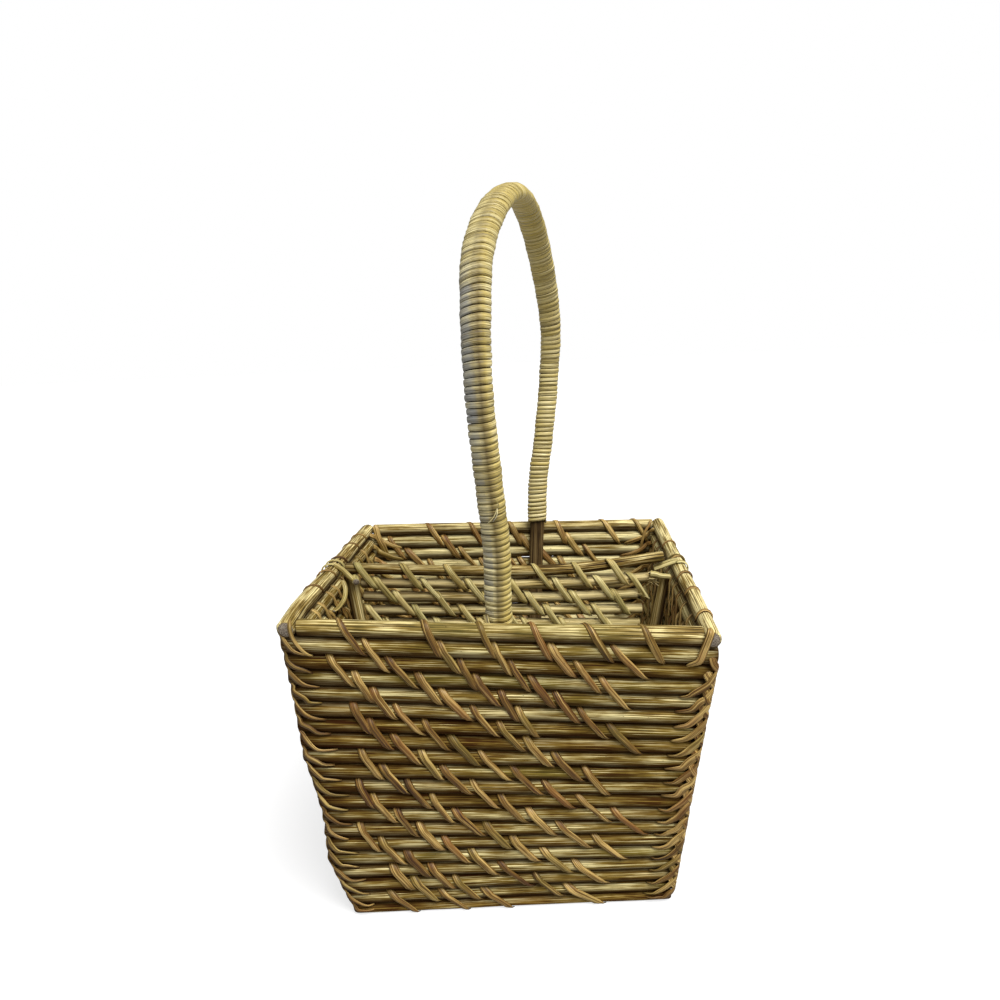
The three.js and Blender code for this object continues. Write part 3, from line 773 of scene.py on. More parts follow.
@dataclass(frozen=True)
class CornerBuild:
    """The strips that bind two walls together at a corner."""

    name: str
    left: Wall  # the wall to the left of the corner, seen from outside
    right: Wall  # the wall to its right
    style: CornerStyle
    seed: int
    inside_rim: bool  # whether the strip over the rim comes down inside
    rings: int = 21
    edge_round: float = 1.6 * MM
    section: StripSection = StripSection()
    # The wrapped corners' strips: painted shade over the face, which turns away from the light, with a bright
    # upper edge.
    dark_section: StripSection = StripSection(
        thickness=0.7 * MM, painted_shade=(0.0, 0.15, 0.75, 0.95, 1.0, 1.0, 1.0, 0.6)
    )
    width: float = 3.3 * MM
    slim_width: float = 2.3 * MM  # at the wrapped corners
    inner_share: float = 0.8  # width of the strips inside, as a share of the width
    rim_strip_widths: Pair = (1.7 * MM, 2.9 * MM)  # at a wrapped corner and at a plaited one
    width_range: Pair = (0.85, 1.1)  # between strips, as shares of the width
    end_shade: float = 0.9  # painted shade on a strip's narrow ends, where they go into the grooves
    plaited_tone: Pair = (0.3, 1)
    wrapped_tone: Pair = (0.6, 1)
    inner_tone: Pair = (0.85, 1)
    rim_tone: Pair = (0.9, 1)
    # Each control: distance along the right wall (or, below 0, the left one) in millimetres, height
    # in courses, lift in millimetres, and how far the strip's face turns down, in degrees.
    path_jitter: Four = (0.3, 0.05, 0.05, 5)
    end_jitter: float = 0.8  # more for the last control's distance
    wrapped_path: Route = (
        (-7.5, 1.5, -1.5, 50), (-5.2, 1.35, -0.4, 40), (-3, 1.08, 0, 10),
        (-1.3, 0.8, -0.25, -5), (0, 0.5, -0.6, -10), (1.4, 0.2, 0.05, 0),
        (3.4, -0.12, 0.35, 15), (6, -0.36, 0.1, 35), (9.4, -0.52, -1.1, 55),
    )
    plaited_path: Route = (
        (-11.2, -0.5, -1.2, 55), (-8.2, -0.42, 0, 40), (-5.6, -0.2, 0.35, 20),
        (-3.4, 0.15, 0.5, 5), (-1.5, 0.55, 0.7, 0), (0, 0.95, 0.75, 0),
        (1.4, 1.3, 0.5, 0), (2.6, 1.55, -0.3, 0), (3.4, 1.7, -1.3, 0),
    )
    # The strips that cross the corner on its inner side.
    inner_path: Route = (
        (-6, 0.9, -1.2, 0), (-3.6, 0.75, 0.3, 0), (0, 0.45, 0.5, 0),
        (4.5, 0, 0.4, 10), (9, -0.35, 0.3, 25), (12.5, -0.52, -1.2, 50),
    )
    # The strip that comes over the rim and down inside a back corner, with heights from the foot.
    inner_rim_path: Route = (
        (1, 19.5, -0.6, -60), (1.6, 19.2, 0.5, -30), (2.6, 18.6, 0.9, 0),
        (3.6, 17.8, 0.8, 0), (4.4, 17, 0, 20), (4.8, 16.6, -1, 30),
    )
    # The strip that comes over the rim and down outside a front corner.
    rim_path: Route = (
        (4.4, 19.5, -2.4, -60), (4.6, 19.42, 0.2, -30), (4.9, 19.05, 0.7, 0),
        (5.6, 18.5, 0.5, 0), (6.9, 17.95, 0.5, 15), (8.6, 17.6, -0.3, 40),
        (9.8, 17.45, -1.6, 50),
    )
    plait_rise: float = 0.5  # courses by which the left wall's strips lie higher
    plait_end: float = 2.5  # courses without plaiting under the rim
    wrap_end: float = 0.5
    lowest_course: float = 0.12
    rim_top: float = 0.6  # courses above the rim rod's axis that the strip over it reaches

    def _surface(self, along: Array, course: Array, lift: Array, face: Face) -> tuple[Array, Array]:
        """Points round the corner, and the directions away from the walls there.

        With f(a) = (a + sqrt(a^2 + r^2)) / 2, the point is the corner plus f(a) along the right wall
        and f(-a) along the left one, plus the lift along a direction that turns from one wall's to the
        other's as a goes through zero.
        """
        out = face.value * self.right.rod_radius
        reach = self.right.half_corner(course) + min(face.value, 0) * 2 * self.right.rod_radius
        corner = self.right.place(-reach, course, out)
        right_way, _ = self.right.axes()
        left_way, _ = self.left.axes()
        root = np.sqrt(along**2 + self.edge_round**2)
        share = ((along / root) + 1) / 2
        normal = unit(share[..., None] * self.right.normal() + (1 - share)[..., None] * self.left.normal())
        normal = face.value * normal
        on_right, on_left = ((root + sign * along)[..., None] / 2 for sign in (1, -1))
        path = corner + on_right * right_way - on_left * left_way
        return path + lift[..., None] * normal, normal

    def _strips(
        self, controls: Array, courses: Array, mirrored: bool, rng: Random, width: float, tone: Pair,
        section: StripSection | None = None, face: Face = Face.OUTER, rise: float = 0.0,
    ) -> Tubes:
        """One strip on each given course, along one control path.

        Args:
            controls: the path's controls, (controls, 4).
            courses: where the strips start, (strips,).
            mirrored: whether the path runs from the right wall to the left one instead.
            rng: the source of the strips' differences.
            width: the strips' width.
            tone: their darkest and palest tone.
            section: their section, if not the usual one.
            face: the side of the walls that they lie on.
            rise: how far above the rim rod's axis they may go, in courses.

        Returns:
            The tubes.
        """
        route = np.tile(controls, (len(courses), 1, 1))
        route = route + rng.normal(0, 1, route.shape) * np.array(self.path_jitter)
        route[:, -1, 0] += rng.normal(0, self.end_jitter, len(courses))
        route = spline(route, self.rings)
        along = route[..., 0] * MM * (-1 if mirrored else 1)
        course = np.maximum(courses[:, None] + route[..., 1], self.lowest_course)
        course = np.minimum(course, self.right.courses - 1 + rise)
        path, normal = self._surface(along, course, route[..., 2] * MM, face)
        tilt = np.radians(route[..., 3])[..., None]
        facing = np.cos(tilt) * normal - np.sin(tilt) * self.right.up()
        ends = tapered(self.rings, inset=0.03, slope=3.2, least=0.25)
        widths = width * ends * rng.uniform(*self.width_range, (len(courses), 1))
        shade = np.clip(self.end_shade - ends, 0, 1)
        return (section or self.section).sweep(path, facing, widths, rng, shade, tone)

    def build(self, finishes: "Finishes", shape: HandShape) -> Pieces:
        """Makes the corner's strips as one piece."""
        rng = np.random.default_rng(self.seed)
        mesh = CaneMesh(self.name + "_corner_strips")
        last = self.right.courses - 1
        plaited = self.style is CornerStyle.PLAITED
        if plaited:
            path = np.array(self.plaited_path)
            courses = np.arange(0.0, last - self.plait_end)
            for mirrored in (False, True):
                mesh.add(self._strips(path, courses, mirrored, rng, self.width, self.plaited_tone))
                path[:, 1] += self.plait_rise
        else:
            path = np.array(self.wrapped_path)
            courses = np.arange(0.0, last - self.wrap_end)
            look = (self.slim_width, self.wrapped_tone, self.dark_section)
            mesh.add(self._strips(path, courses, False, rng, *look))
        courses = np.arange(1.0, last - self.wrap_end)
        width = self.inner_share * self.width
        inner = np.array(self.inner_path)
        mesh.add(self._strips(inner, courses, plaited, rng, width, self.inner_tone, face=Face.INNER))
        over = np.array(self.inner_rim_path if self.inside_rim else self.rim_path)
        face = Face.INNER if self.inside_rim else Face.OUTER
        width = self.rim_strip_widths[int(plaited)]
        start = np.zeros(1)
        mesh.add(self._strips(over, start, plaited, rng, width, self.rim_tone, face=face, rise=self.rim_top))
        piece = mesh.build(shape)
        return [finishes.dress(piece, finishes.strip, Slot.STRIP, self.name + "_corner_stitching")]


@dataclass(frozen=True)
class FloorBuild:
    """The floor's canes and the strip laced across them."""

    half_length: float
    half_depth: float
    height: float  # of the canes' axes
    pitch: float
    radius: float
    seed: int = 71
    lace_runs: int = 7
    canes: CaneRow = CaneRow(rings=40, around=14)
    section: StripSection = StripSection()
    lace_width: float = 2.8 * MM
    lace_run: float = 7 * MM  # how far each stitch runs to the right
    lace_share: float = 0.85  # share of the floor's length that is laced
    girth_range: Pair = (1.01, 1.05)  # of the canes' ends, as shares of the radius

    def build(self, finishes: "Finishes", shape: HandShape) -> Pieces:
        """Makes the floor's canes and its lacing."""
        rng = np.random.default_rng(self.seed)
        count = round(2 * self.half_depth / self.pitch) + 1
        y = np.linspace(-self.half_depth, self.half_depth, count)
        end = np.stack([np.full(count, self.half_length), y, np.full(count, self.height)], 1)
        start = end * np.array([-1, 1, 1])
        seam = np.tile([0.0, 1.0, 0.0], (count, 1))
        radii = self.radius * rng.uniform(*self.girth_range, (count, 2))
        row = self.canes.build(start, end, seam, radii, np.ones((count, 2)), rng)
        piece = CaneMesh("floor_canes").add(row).build(shape)
        canes = finishes.dress(piece, finishes.rod, Slot.ROD, "floor_rods")
        lacing = CaneMesh("floor_stitches").add(self._lacing(y, rng)).build(shape)
        return [canes, finishes.dress(lacing, finishes.strip, Slot.STRIP, "floor_lacing")]

    def _lacing(self, y: Array, rng: Random) -> Tubes:
        """Slanting stitches over two canes each, as low arches from groove to groove."""
        spots = np.linspace(-self.lace_share, self.lace_share, self.lace_runs) * self.half_length
        x, low = (grid.ravel() for grid in np.meshgrid(spots, y[:-1:2]))
        s = np.linspace(0, 1, 9)
        across = low[:, None] - self.pitch * 0.45 + s * self.pitch * 1.9
        sideways = x[:, None] + (s - 0.5) * self.lace_run
        arch = tapered(9, inset=0, slope=3, least=0)
        height = self.height + self.radius * (0.35 + 0.7 * arch) + 0.1 * MM
        path = np.stack([sideways, across, np.broadcast_to(height, across.shape)], -1)
        return self.section.sweep(path, UP, self.lace_width * np.clip(arch, 0.4, 1), rng)


@dataclass(frozen=True)
class DividerBuild:
    """The divider: separate canes between two posts, with stitches over pairs of them."""

    half_rim: float  # half the distance between the side rim rods' inner faces
    half_foot: float  # the same at the lowest divider cane
    rim_height: float
    foot_height: float
    post_nodes: tuple[str, str] = ("left_divider_post", "right_divider_post")
    rows: int = 17
    pitch: float = 6.2 * MM
    radius: float = 2.3 * MM
    post_radius: float = 2.6 * MM
    seed: int = 83
    # Painted shade at each cane's start: the divider canes' left ends and the posts' feet.
    canes: CaneRow = CaneRow(rings=48, around=16, start_painted_shade=0.52, start_painted_shade_length=45 * MM)
    section: StripSection = StripSection(thickness=0.55 * MM)
    stitch_width: float = 2.7 * MM
    # Each row of stitches: the cane that it starts on and its place there in millimetres.
    rows_from: tuple[tuple[int, float], ...] = (
        (0, -64.5), (0, -45.6), (0, -26), (0, -8), (0, 10.6), (0, 27.8), (0, 41.8),
        (3, -62), (6, -60), (9, -58), (12, -56),
    )
    row_run: float = 7.6  # how far each stitch starts to the right of the one above it, in millimetres
    row_jitter: float = 0.6
    row_end: Pair = (51, 0.5)  # where the rows end: at the top cane, and how much sooner on each cane below
    # Degrees round the two canes, up from their front, and the strip's widths there, as shares.
    stitch_angles: Numbers = (118, 84, 56, 28, 2, 0, -2, -28, -56, -84)
    stitch_widths: Numbers = (0.7, 0.85, 0.95, 1, 1, 1, 0.97, 0.85, 0.6, 0.15)
    stitch_run: Pair = (8.8, 11)  # range of how far a stitch runs to the right, in millimetres
    width_range: Pair = (0.85, 1.12)  # between stitches, as shares of the width
    # The top cane's points: to the right, to the back and above the rim's height, in millimetres.
    top_path: tuple[Point, ...] = ((-68, 0.5, 0.3), (-20, 0, -0.6), (25, 0, 0.2), (66, 3, 5.0))
    follow: Numbers = (1, 0.65, 0.4, 0.15, 0)  # share of that curve that each row follows
    frayed_rows: tuple[int, ...] = (1, 2)
    right_trims: Pair = (2.5 * MM, 6.0 * MM)  # how much shorter the first canes are
    trim: float = 3.2 * MM  # and all the others
    girth_range: Pair = (0.9, 1.08)  # of the canes' ends, as shares of the radius
    groove: float = 0.55  # how far each cane shades the next
    tone: Pair = (0.95, 1.25)

    def _axis(self, row: int) -> tuple[Array, Array]:
        """Start and end of one cane under the top one."""
        z = self.rim_height - row * self.pitch
        share = (z - self.foot_height) / (self.rim_height - self.foot_height)
        half = self.half_foot + (self.half_rim - self.half_foot) * share
        trim = self.right_trims[row - 1] if row <= len(self.right_trims) else self.trim
        return np.array([-half, 0.0, z]), np.array([half - trim, 0.0, z])

    def _rise(self, x: Array, row: Array) -> Array:
        """How far a row is lifted at x: its share of the top cane's curve."""
        curve = spline(np.array(self.top_path) * MM, 200)
        share = np.interp(row, np.arange(len(self.follow)), self.follow)
        return share * np.interp(x, curve[:, 0], curve[:, 2])

    def build(self, finishes: "Finishes", shape: HandShape) -> Pieces:
        """Makes the divider's canes, posts and stitches."""
        rng = np.random.default_rng(self.seed)
        ends = [self._axis(row) for row in range(1, self.rows + 1)]
        start, end = (np.array(places) for places in zip(*ends))
        seam = np.tile(-UP, (self.rows, 1))
        radii = self.radius * rng.uniform(*self.girth_range, (self.rows, 2))
        grooves = np.full((self.rows, 2), self.groove)
        row = self.canes.build(start, end, seam, radii, grooves, rng, self.tone)
        row.points[..., 2] += self._rise(row.points[..., 0], np.arange(1, self.rows + 1)[:, None, None])
        stack = CaneMesh("divider_canes").add(row)
        for index in self.frayed_rows:
            tip = end[index - 1] + UP * self._rise(end[index - 1, 0], index)
            stack.add(self._fray(tip, radii[index - 1, 1], rng))
        names = [f"divider_rod_{index:02d}" for index in range(1, self.rows + 1)]
        pieces = [finishes.dress(stack.build(shape), finishes.pale_rod, Slot.ROD, *names)]
        top = CaneMesh("divider_top_cane").add(self._top(rng)).build(shape)
        pieces.append(finishes.dress(top, finishes.rim, Slot.RIM, "divider_top_rod"))
        for side, name in zip((-1, 1), self.post_nodes):
            post = CaneMesh(name + "_cane").add(self._post(name, side, rng)).build(shape)
            pieces.append(finishes.dress(post, finishes.pale_rod, Slot.ROD, name))
        strips = CaneMesh("divider_stitches").add(self._stitches(rng)).build(shape)
        pieces.append(finishes.dress(strips, finishes.pale_strip, Slot.STRIP, "divider_lacing"))
        return pieces

    def _top(self, rng: Random) -> Tubes:
        """The top cane: a straight one whose points then follow a curve that rises at the right."""
        offset = np.array(self.top_path) * MM
        offset[:, 2] += self.rim_height
        radii = np.full((1, 2), self.radius * 1.02)
        grooves = np.array([[0.6, 0.0]])
        cane = self.canes.build(offset[:1], offset[-1:], -UP[None], radii, grooves, rng, (0.25, 0.35))
        curve = spline(offset, 200)
        x = cane.points[..., 0]
        straight = (x - offset[0, 0]) / (offset[-1, 0] - offset[0, 0])
        for k in (1, 2):
            line = offset[0, k] + (offset[-1, k] - offset[0, k]) * straight
            cane.points[..., k] += np.interp(x, curve[:, 0], curve[:, k]) - line
        return cane

    def _post(self, name: str, side: int, rng: Random) -> Tubes:
        """One upright post, from the ends of its CAD node."""
        low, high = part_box(name)
        inner, outer = (low.x, high.x) if side > 0 else (high.x, low.x)
        inset = self.post_radius * side
        start = np.array([[inner + inset, 0.0, low.z]])
        end = np.array([[outer - inset, 0.0, high.z]])
        radii = np.full((1, 2), self.post_radius)
        seam = np.array([[side * 1.0, 0.0, 0.0]])
        return self.canes.build(start, end, seam, radii, np.array([[1.0, 0.2]]), rng, (0.3, 0.7))

    def _fray(self, tip: Array, radius: float, rng: Random, count: int = 22) -> Tubes:
        """Loose fibres at a torn cane end: thin strips that fan out from the cut."""
        s = np.linspace(0, 1, 6)[:, None]
        angle = rng.uniform(0, 2 * np.pi, (count, 1, 1))
        out = radius * np.sqrt(rng.uniform(0.1, 0.9, (count, 1, 1)))
        ray = np.concatenate([np.zeros_like(angle), np.cos(angle), np.sin(angle)], -1)
        length = rng.uniform(2.5, 6.5, (count, 1, 1)) * MM
        spread = rng.uniform(0.1, 0.7, (count, 1, 1)) * length
        right = np.array([1.0, 0, 0])
        path = tip - 1.5 * MM * right + out * ray + s * length * right + s**2 * spread * ray
        width = 0.45 * MM * (1 - 0.7 * s[:, 0])
        return StripSection(thickness=0.25 * MM).sweep(path, ray, width, rng, tone=(0.7, 1.0))

    def _stitches(self, rng: Random) -> Tubes:
        """Stitches over pairs of canes, in rows that step down to the right.

        In a section square to the canes a stitch follows a half circle from above its upper cane to
        that cane's front, goes straight to the next one's, and round it into the groove below.
        """
        starts = []
        for first, x0 in self.rows_from:
            k = np.arange(0, self.rows - first, 1)
            x = x0 + self.row_run * k + rng.normal(0, self.row_jitter, len(k))
            keep = x < self.row_end[0] - self.row_end[1] * (first + k)
            starts.append(np.stack([first + k[keep], x[keep]], 1))
        spots = np.concatenate(starts)
        single = (len(spots), 1)
        turn = np.radians(self.stitch_angles)
        rod = (1 - np.sign(turn)) / 2
        ride = self.radius + 0.15 * MM + rng.uniform(0, 0.2 * MM, single)
        z = self.rim_height - (spots[:, :1] + rod) * self.pitch + ride * np.sin(turn)
        y = -ride * np.cos(turn)
        run = rng.uniform(*self.stitch_run, single) * MM
        x = spots[:, 1:] * MM + run * progress(z, y) ** rng.uniform(1.0, 1.25, single)
        path = np.stack([x, y, z + self._rise(x, spots[:, :1] + rod)], -1)
        normal = np.stack([np.zeros(len(turn)), -np.cos(turn), np.sin(turn)], -1)
        width = self.stitch_width * np.array(self.stitch_widths) * rng.uniform(*self.width_range, single)
        return self.section.sweep(path, normal, width, rng, tone=(0.6, 1.1))


@dataclass(frozen=True)
class TieBuild:
    """The strips that tie the divider to the side rims, with their cut stubs."""

    rim_out: float  # distance from the middle to the side rim rods' axes
    rim_height: float
    rim_radius: float
    seed: int = 97
    rings: int = 26
    section: StripSection = StripSection(thickness=0.6 * MM)
    canes: CaneRow = CaneRow(rings=20, around=12)
    # Each strip round a rim rod: its side, its place along the rod, how far it drifts while it goes
    # round, its start and end angle in degrees, its width and its tone.
    loops: tuple[tuple[int, float, float, float, float, float, float], ...] = (
        (-1, -5, 3, -80, 200, 2.6, 0.75),
        (-1, 1.8, 2, -70, 215, 1.7, 0.3),
        (1, 8.6, 3.2, -40, 215, 1.9, 0.1),
        (1, 1.6, -1.6, 60, 215, 2.9, 0.95),
    )
    # Each free strip: its side, width and tone, then points as distance in from the rim rod's axis,
    # place along the rod, and height over the rim rod's axis, in millimetres.
    tails: tuple[tuple[int, float, float, tuple[Point, ...]], ...] = (
        (
            1, 2.9, 0.95,
            ((0.6, 1.5, 3.4), (3, 2.1, 2.9), (6.2, 2.8, 1.4), (9.6, 3.3, -0.1), (10.6, 3.4, -0.6)),
        ),
        (
            -1, 2.1, 0.85,
            ((4.2, -4.4, -3.6), (5.4, -6.2, -7), (5.8, -11, -9.6), (5.6, -19, -10.4), (5.2, -27, -10)),
        ),
        (-1, 2.2, 0.7, ((1.5, -4.6, 3.6), (4.0, -4.2, 1.6), (6.2, -4.0, -1.0), (8.4, -4.4, -3.4))),
    )
    tail_facing: Point = (0, -0.75, 0.66)  # where the free strips' crowns point
    # Each cut piece of cane: its side, radius and both ends, in the same way.
    stubs: tuple[tuple[int, float, Point, Point], ...] = (
        (-1, 1.7, (9.8, -5.6, -4.0), (7.6, 2.0, -3.2)),
        (1, 1.4, (13.0, -3.4, -0.8), (4.4, -4.2, -2.0)),
    )

    def _spot(self, side: int, points: Array) -> Array:
        """Places in space from distances in from a rim rod, along it and above it in millimetres."""
        x = side * (self.rim_out - points[..., 0] * MM)
        return np.stack([x, points[..., 1] * MM, self.rim_height + points[..., 2] * MM], -1)

    def _loop(self, loop: tuple, rng: Random) -> Tubes:
        """A strip round a rim rod: the circle from one angle to another, drifting along the rod."""
        side, place, drift, first, last, width, tone = loop
        angle = np.radians(np.linspace(last, first, self.rings))
        ride = self.rim_radius / MM + 0.2
        along = place + drift * np.linspace(0, 1, self.rings)
        path = self._spot(side, np.stack([ride * np.cos(angle), along, ride * np.sin(angle)], -1))[None]
        normal = np.stack([-side * np.cos(angle), np.zeros(self.rings), np.sin(angle)], -1)
        widths = width * MM * tapered(self.rings, inset=0.03, slope=5, least=0.4)
        return self.section.sweep(path, normal, widths, rng, tone=(tone, tone + 0.01))

    def _tail(self, tail: tuple, rng: Random) -> Tubes:
        """A strip's free end, along its own points."""
        side, width, tone, points = tail
        path = spline(self._spot(side, np.array(points)), self.rings)[None]
        normal = unit(np.array(self.tail_facing))
        widths = width * MM * tapered(self.rings, inset=0.08, slope=2.5, least=0.3)
        return self.section.sweep(path, normal, widths, rng, tone=(tone, tone + 0.01))

    def _stub(self, stub: tuple, rng: Random) -> Tubes:
        """A cut piece of thin cane."""
        side, radius, start, end = stub
        start, end = (self._spot(side, np.array([point])) for point in (start, end))
        radii = np.array([[radius, 0.8 * radius]]) * MM
        return self.canes.build(start, end, -UP[None], radii, np.array([[0.3, 0.0]]), rng, (0.8, 0.95))

    def build(self, finishes: "Finishes", shape: HandShape) -> Pieces:
        """Makes the ties and the stubs of both sides."""
        rng = np.random.default_rng(self.seed)
        pieces = []
        for side, name in ((-1, "left"), (1, "right")):
            mesh = CaneMesh(name + "_rim_tie")
            for make, parts in ((self._loop, self.loops), (self._tail, self.tails), (self._stub, self.stubs)):
                for part in parts:
                    if part[0] == side:
                        mesh.add(make(part, rng))
            piece = mesh.build(shape)
            pieces.append(finishes.dress(piece, finishes.pale_strip, Slot.STRIP, name + "_divider_tie"))
        return pieces


@dataclass(frozen=True)
class HandleBuild:
    """The tall handle: a flat cane core, its winding and the ties of its legs."""

    leg_foot: float  # distance out of the legs' axis at the ground
    leg_rise: float  # how far the legs move out for each metre up
    foot_height: float
    top_height: float  # of the core's axis
    rim_height: float
    # How far to the right each leg stands at some heights, both in millimetres.
    front_side: tuple[Pair, ...] = (
        (22, -1), (124, -0.7), (150, -0.2), (178, -1.7), (205, -3.1), (236, -3.3), (258, -1.6)
    )
    back_side: tuple[Pair, ...] = ((236, 20.8), (199, 19.8), (168, 16.2), (131, 12), (22, 11))
    top_side: float = 9.4
    seed: int = 101
    half_width: float = 4.35 * MM
    half_thickness: float = 2.65 * MM
    square: float = 0.85  # power that squares the oval section off; 1 is a plain oval
    ridge: Point = (0.3, 1.3, 0.6)  # share by which it stands out, its angle and its breadth in radians
    # The section gets wider from the legs to the shoulders: share, and heights where it starts and ends.
    shoulder_growth: Point = (0.17, 0.205, 0.262)
    core_depth: float = 0.75 * MM  # how far the core lies under the winding's outline
    core_girth: float = 26 * MM
    core_tone: float = 0.3
    winding_start: float = 1.0 * MM  # height over the rim at which the winding ends on the back leg
    winding_drop: float = 6.0 * MM  # how much lower than that it starts on the front leg
    low_pitch: float = 2.0 * MM
    high_pitch: float = 2.75 * MM
    pitch_drift: float = 0.1  # slow change of the pitch, as a share of it
    girth_drift: float = 0.12 * MM
    snug: float = 0.97  # width of the strip, as a share of the pitch
    steps_per_turn: int = 20
    # How much the turns rise to the right at some heights, more than the pitch makes them.
    slants: tuple[Pair, ...] = ((180, -0.05), (205, 0), (222, -0.06), (241, -0.17), (262, -0.2))
    slant_turn: float = 12 * MM  # length over which that slope turns round at the top
    # Across the front leg's outer side, from its left edge to its right one: place, warmth and painted shade,
    # darkest on the ridge's shadow side.
    facets: tuple[Point, ...] = (
        (-1, 0, 0), (-0.3, 0, 0.2), (-0.12, 0.4, 0.8), (0.12, 0.7, 0.85), (0.3, 1, 0.65),
        (0.52, 1, 0.45), (0.72, 0.7, 0), (1, 0.6, 0),
    )
    plain_warmth: float = 0.75  # of the winding elsewhere
    top_warmth: float = 0.9
    low_warmth: float = 0.22  # more towards the foot of the legs
    mottle: float = 0.12
    # Shares of the height over the rim between which the top's look and the foot's look set in.
    top_range: Pair = (0.725, 0.975)
    low_range: Pair = (0.55, 0.35)
    loose_height: float = 43 * MM  # of the fibres that stand off, over the rim
    tie_width: float = 3.6 * MM
    section: StripSection = StripSection(
        wide=(0.5, 0.42, 0.0, -0.42, -0.5, 0.0), high=(0.1, 0.75, 1.0, 0.75, 0.1, 0.0)
    )
    canes: CaneRow = CaneRow(rings=20, around=12)

    @property
    def radius(self) -> float:
        """Radius of the arch, whose line runs on from the leaning legs without a kink."""
        lean = math.atan(self.leg_rise)
        reach = self.leg_foot + self.top_height * self.leg_rise
        return reach / (1 / math.cos(lean) + self.leg_rise)

    def line(self, samples: int) -> tuple[Array, Array]:
        """The core's axis from the front foot to the back foot.

        Each leg is straight in the YZ plane, and the arch is a circle that both legs touch. Sideways,
        the line follows a smooth curve through the places given for each leg and the top.

        Args:
            samples: number of points.

        Returns:
            The points, (samples, 3), and the distance along the line, (samples,).
        """
        lean = math.atan(self.leg_rise)
        radius = self.radius
        hub = self.top_height - radius
        shoulder = hub - radius * math.sin(lean)
        leg = (shoulder - self.foot_height) / math.cos(lean)
        arch = radius * (math.pi + 2 * lean)
        along = np.linspace(0, 2 * leg + arch, samples)
        near = np.minimum(along, along[-1] - along)
        side = np.where(along < along[-1] / 2, -1.0, 1.0)
        z_leg = self.foot_height + near * math.cos(lean)
        y_leg = side * (self.leg_foot + z_leg * self.leg_rise)
        angle = (along - leg) / radius - lean
        on_leg = near < leg
        y = np.where(on_leg, y_leg, -radius * np.cos(angle))
        z = np.where(on_leg, z_leg, hub + radius * np.sin(angle))
        half = along[-1] / 2
        front, back = np.flatnonzero(along < half), np.flatnonzero(along >= half)[::-1]
        front_marks, back_marks = (
            np.stack([np.interp(height, z[leg], along[leg]), place], -1)
            for leg, (height, place) in (
                (front, np.array(self.front_side).T * MM), (back, np.array(self.back_side).T * MM)
            )
        )
        curve = spline(np.concatenate([front_marks, [[half, self.top_side * MM]], back_marks]), 400)
        x = np.interp(along, curve[:, 0], curve[:, 1])
        points = np.stack([x, y, z], -1)
        return points, running_sum(np.linalg.norm(np.diff(points, axis=0), axis=1))

    def _frames(self, points: Array) -> tuple[Array, Array]:
        """Directions across the handle and out through its curve, at points of its line."""
        tangent = unit(np.gradient(points, axis=0))
        across = unit(np.array([1.0, 0.0, 0.0]) - tangent[:, :1] * tangent)
        return across, np.cross(across, tangent)

    def _outline(self, angle: Array, grow: Array, height: Array) -> Array:
        """The handle's section: an oval with a ridge right of its middle on the outer side.

        At an angle the point is (a cos, b sin), and the outer half rises by a low bell round 75
        degrees. The oval is wider at the shoulders than at the legs.
        """
        ridge_share, ridge_angle, ridge_breadth = self.ridge
        bell = np.exp(-(((np.mod(angle, 2 * np.pi) - ridge_angle) / ridge_breadth) ** 2))
        share, low, high = self.shoulder_growth
        t = ramp(height, low, high)
        wide = self.half_width * (0.96 + share * (3 * t**2 - 2 * t**3))
        a = (wide + grow) * np.sign(np.cos(angle)) * np.abs(np.cos(angle)) ** self.square
        b = (self.half_thickness + grow) * np.sin(angle) * (1 + ridge_share * bell)
        return np.stack(np.broadcast_arrays(a, b), -1)

    def _core(self) -> Tubes:
        """The bare core, seen below the winding."""
        points, along = self.line(150)
        across, out = self._frames(points)
        sides = 16
        angle = 2 * np.pi * np.arange(sides) / sides
        spot = self._outline(angle, -self.core_depth, points[:, 2:])
        ring = spot[..., :1] * across[:, None] + spot[..., 1:] * out[:, None]
        grid = (points[:, None] + ring)[None]
        flat = np.zeros(grid.shape[:3])
        across = np.linspace(0, self.core_girth, sides + 1)
        return Tubes(grid, along[None], across, np.array([self.core_tone]), flat + 0.5, flat + 0.25)

    def _winding(self, rng: Random) -> Tubes:
        """The strip wound round the core, as one tube.

        Its turn number is the running sum of the step over the pitch, and the strip's middle lies on
        the section's outline at that angle.
        """
        fine, along = self.line(6000)
        low = self.rim_height + self.winding_start
        inside = np.flatnonzero(fine[:, 2] > low)
        first, last = along[inside[0]] - self.winding_drop, along[inside[-1]]
        s = np.linspace(first, last, 6000)
        share = (s - first) / (last - first)
        pitch = self.low_pitch + (self.high_pitch - self.low_pitch) * np.sin(np.pi * share)
        pitch = pitch * (1 + self.pitch_drift * wander(rng, 1, 23 * share, 5)[0])
        turns = running_sum(np.diff(s) / pitch[:-1])
        rings = int(turns[-1] * self.steps_per_turn)
        turn = np.linspace(0, turns[-1], rings)
        here = np.interp(turn, turns, s)
        width = np.interp(turn, turns, pitch)
        centre = np.stack([np.interp(here, along, fine[:, k]) for k in range(3)], -1)
        across, out = self._frames(centre)
        angle = -2 * np.pi * turn
        grow = self.girth_drift * wander(rng, 1, 31 * turn / turn[-1], 6)[0]
        spot = self._outline(angle, grow, centre[:, 2])
        top = (first + last) / 2
        leg = np.clip((top - here) / self.slant_turn, -1, 1)
        run = leg[:, None] * np.cross(out, across)
        slant = np.interp(centre[:, 2:] / MM, *np.array(self.slants).T)
        path = centre + spot[:, :1] * (across - slant * run) + spot[:, 1:] * out
        facing = unit(spot / np.array([self.half_width**2, self.half_thickness**2]))
        normal = facing[:, :1] * across + facing[:, 1:] * out
        place, warmths, shades = np.array(self.facets).T
        cross = spot[:, 0] / self.half_width
        outside = np.clip(0.8 + 2 * spot[:, 1] / self.half_thickness, 0, 1) * (here < top)
        height = ramp(centre[:, 2], self.rim_height, self.top_height)
        high_up, low_down = ramp(height, *self.top_range), ramp(height, *self.low_range)
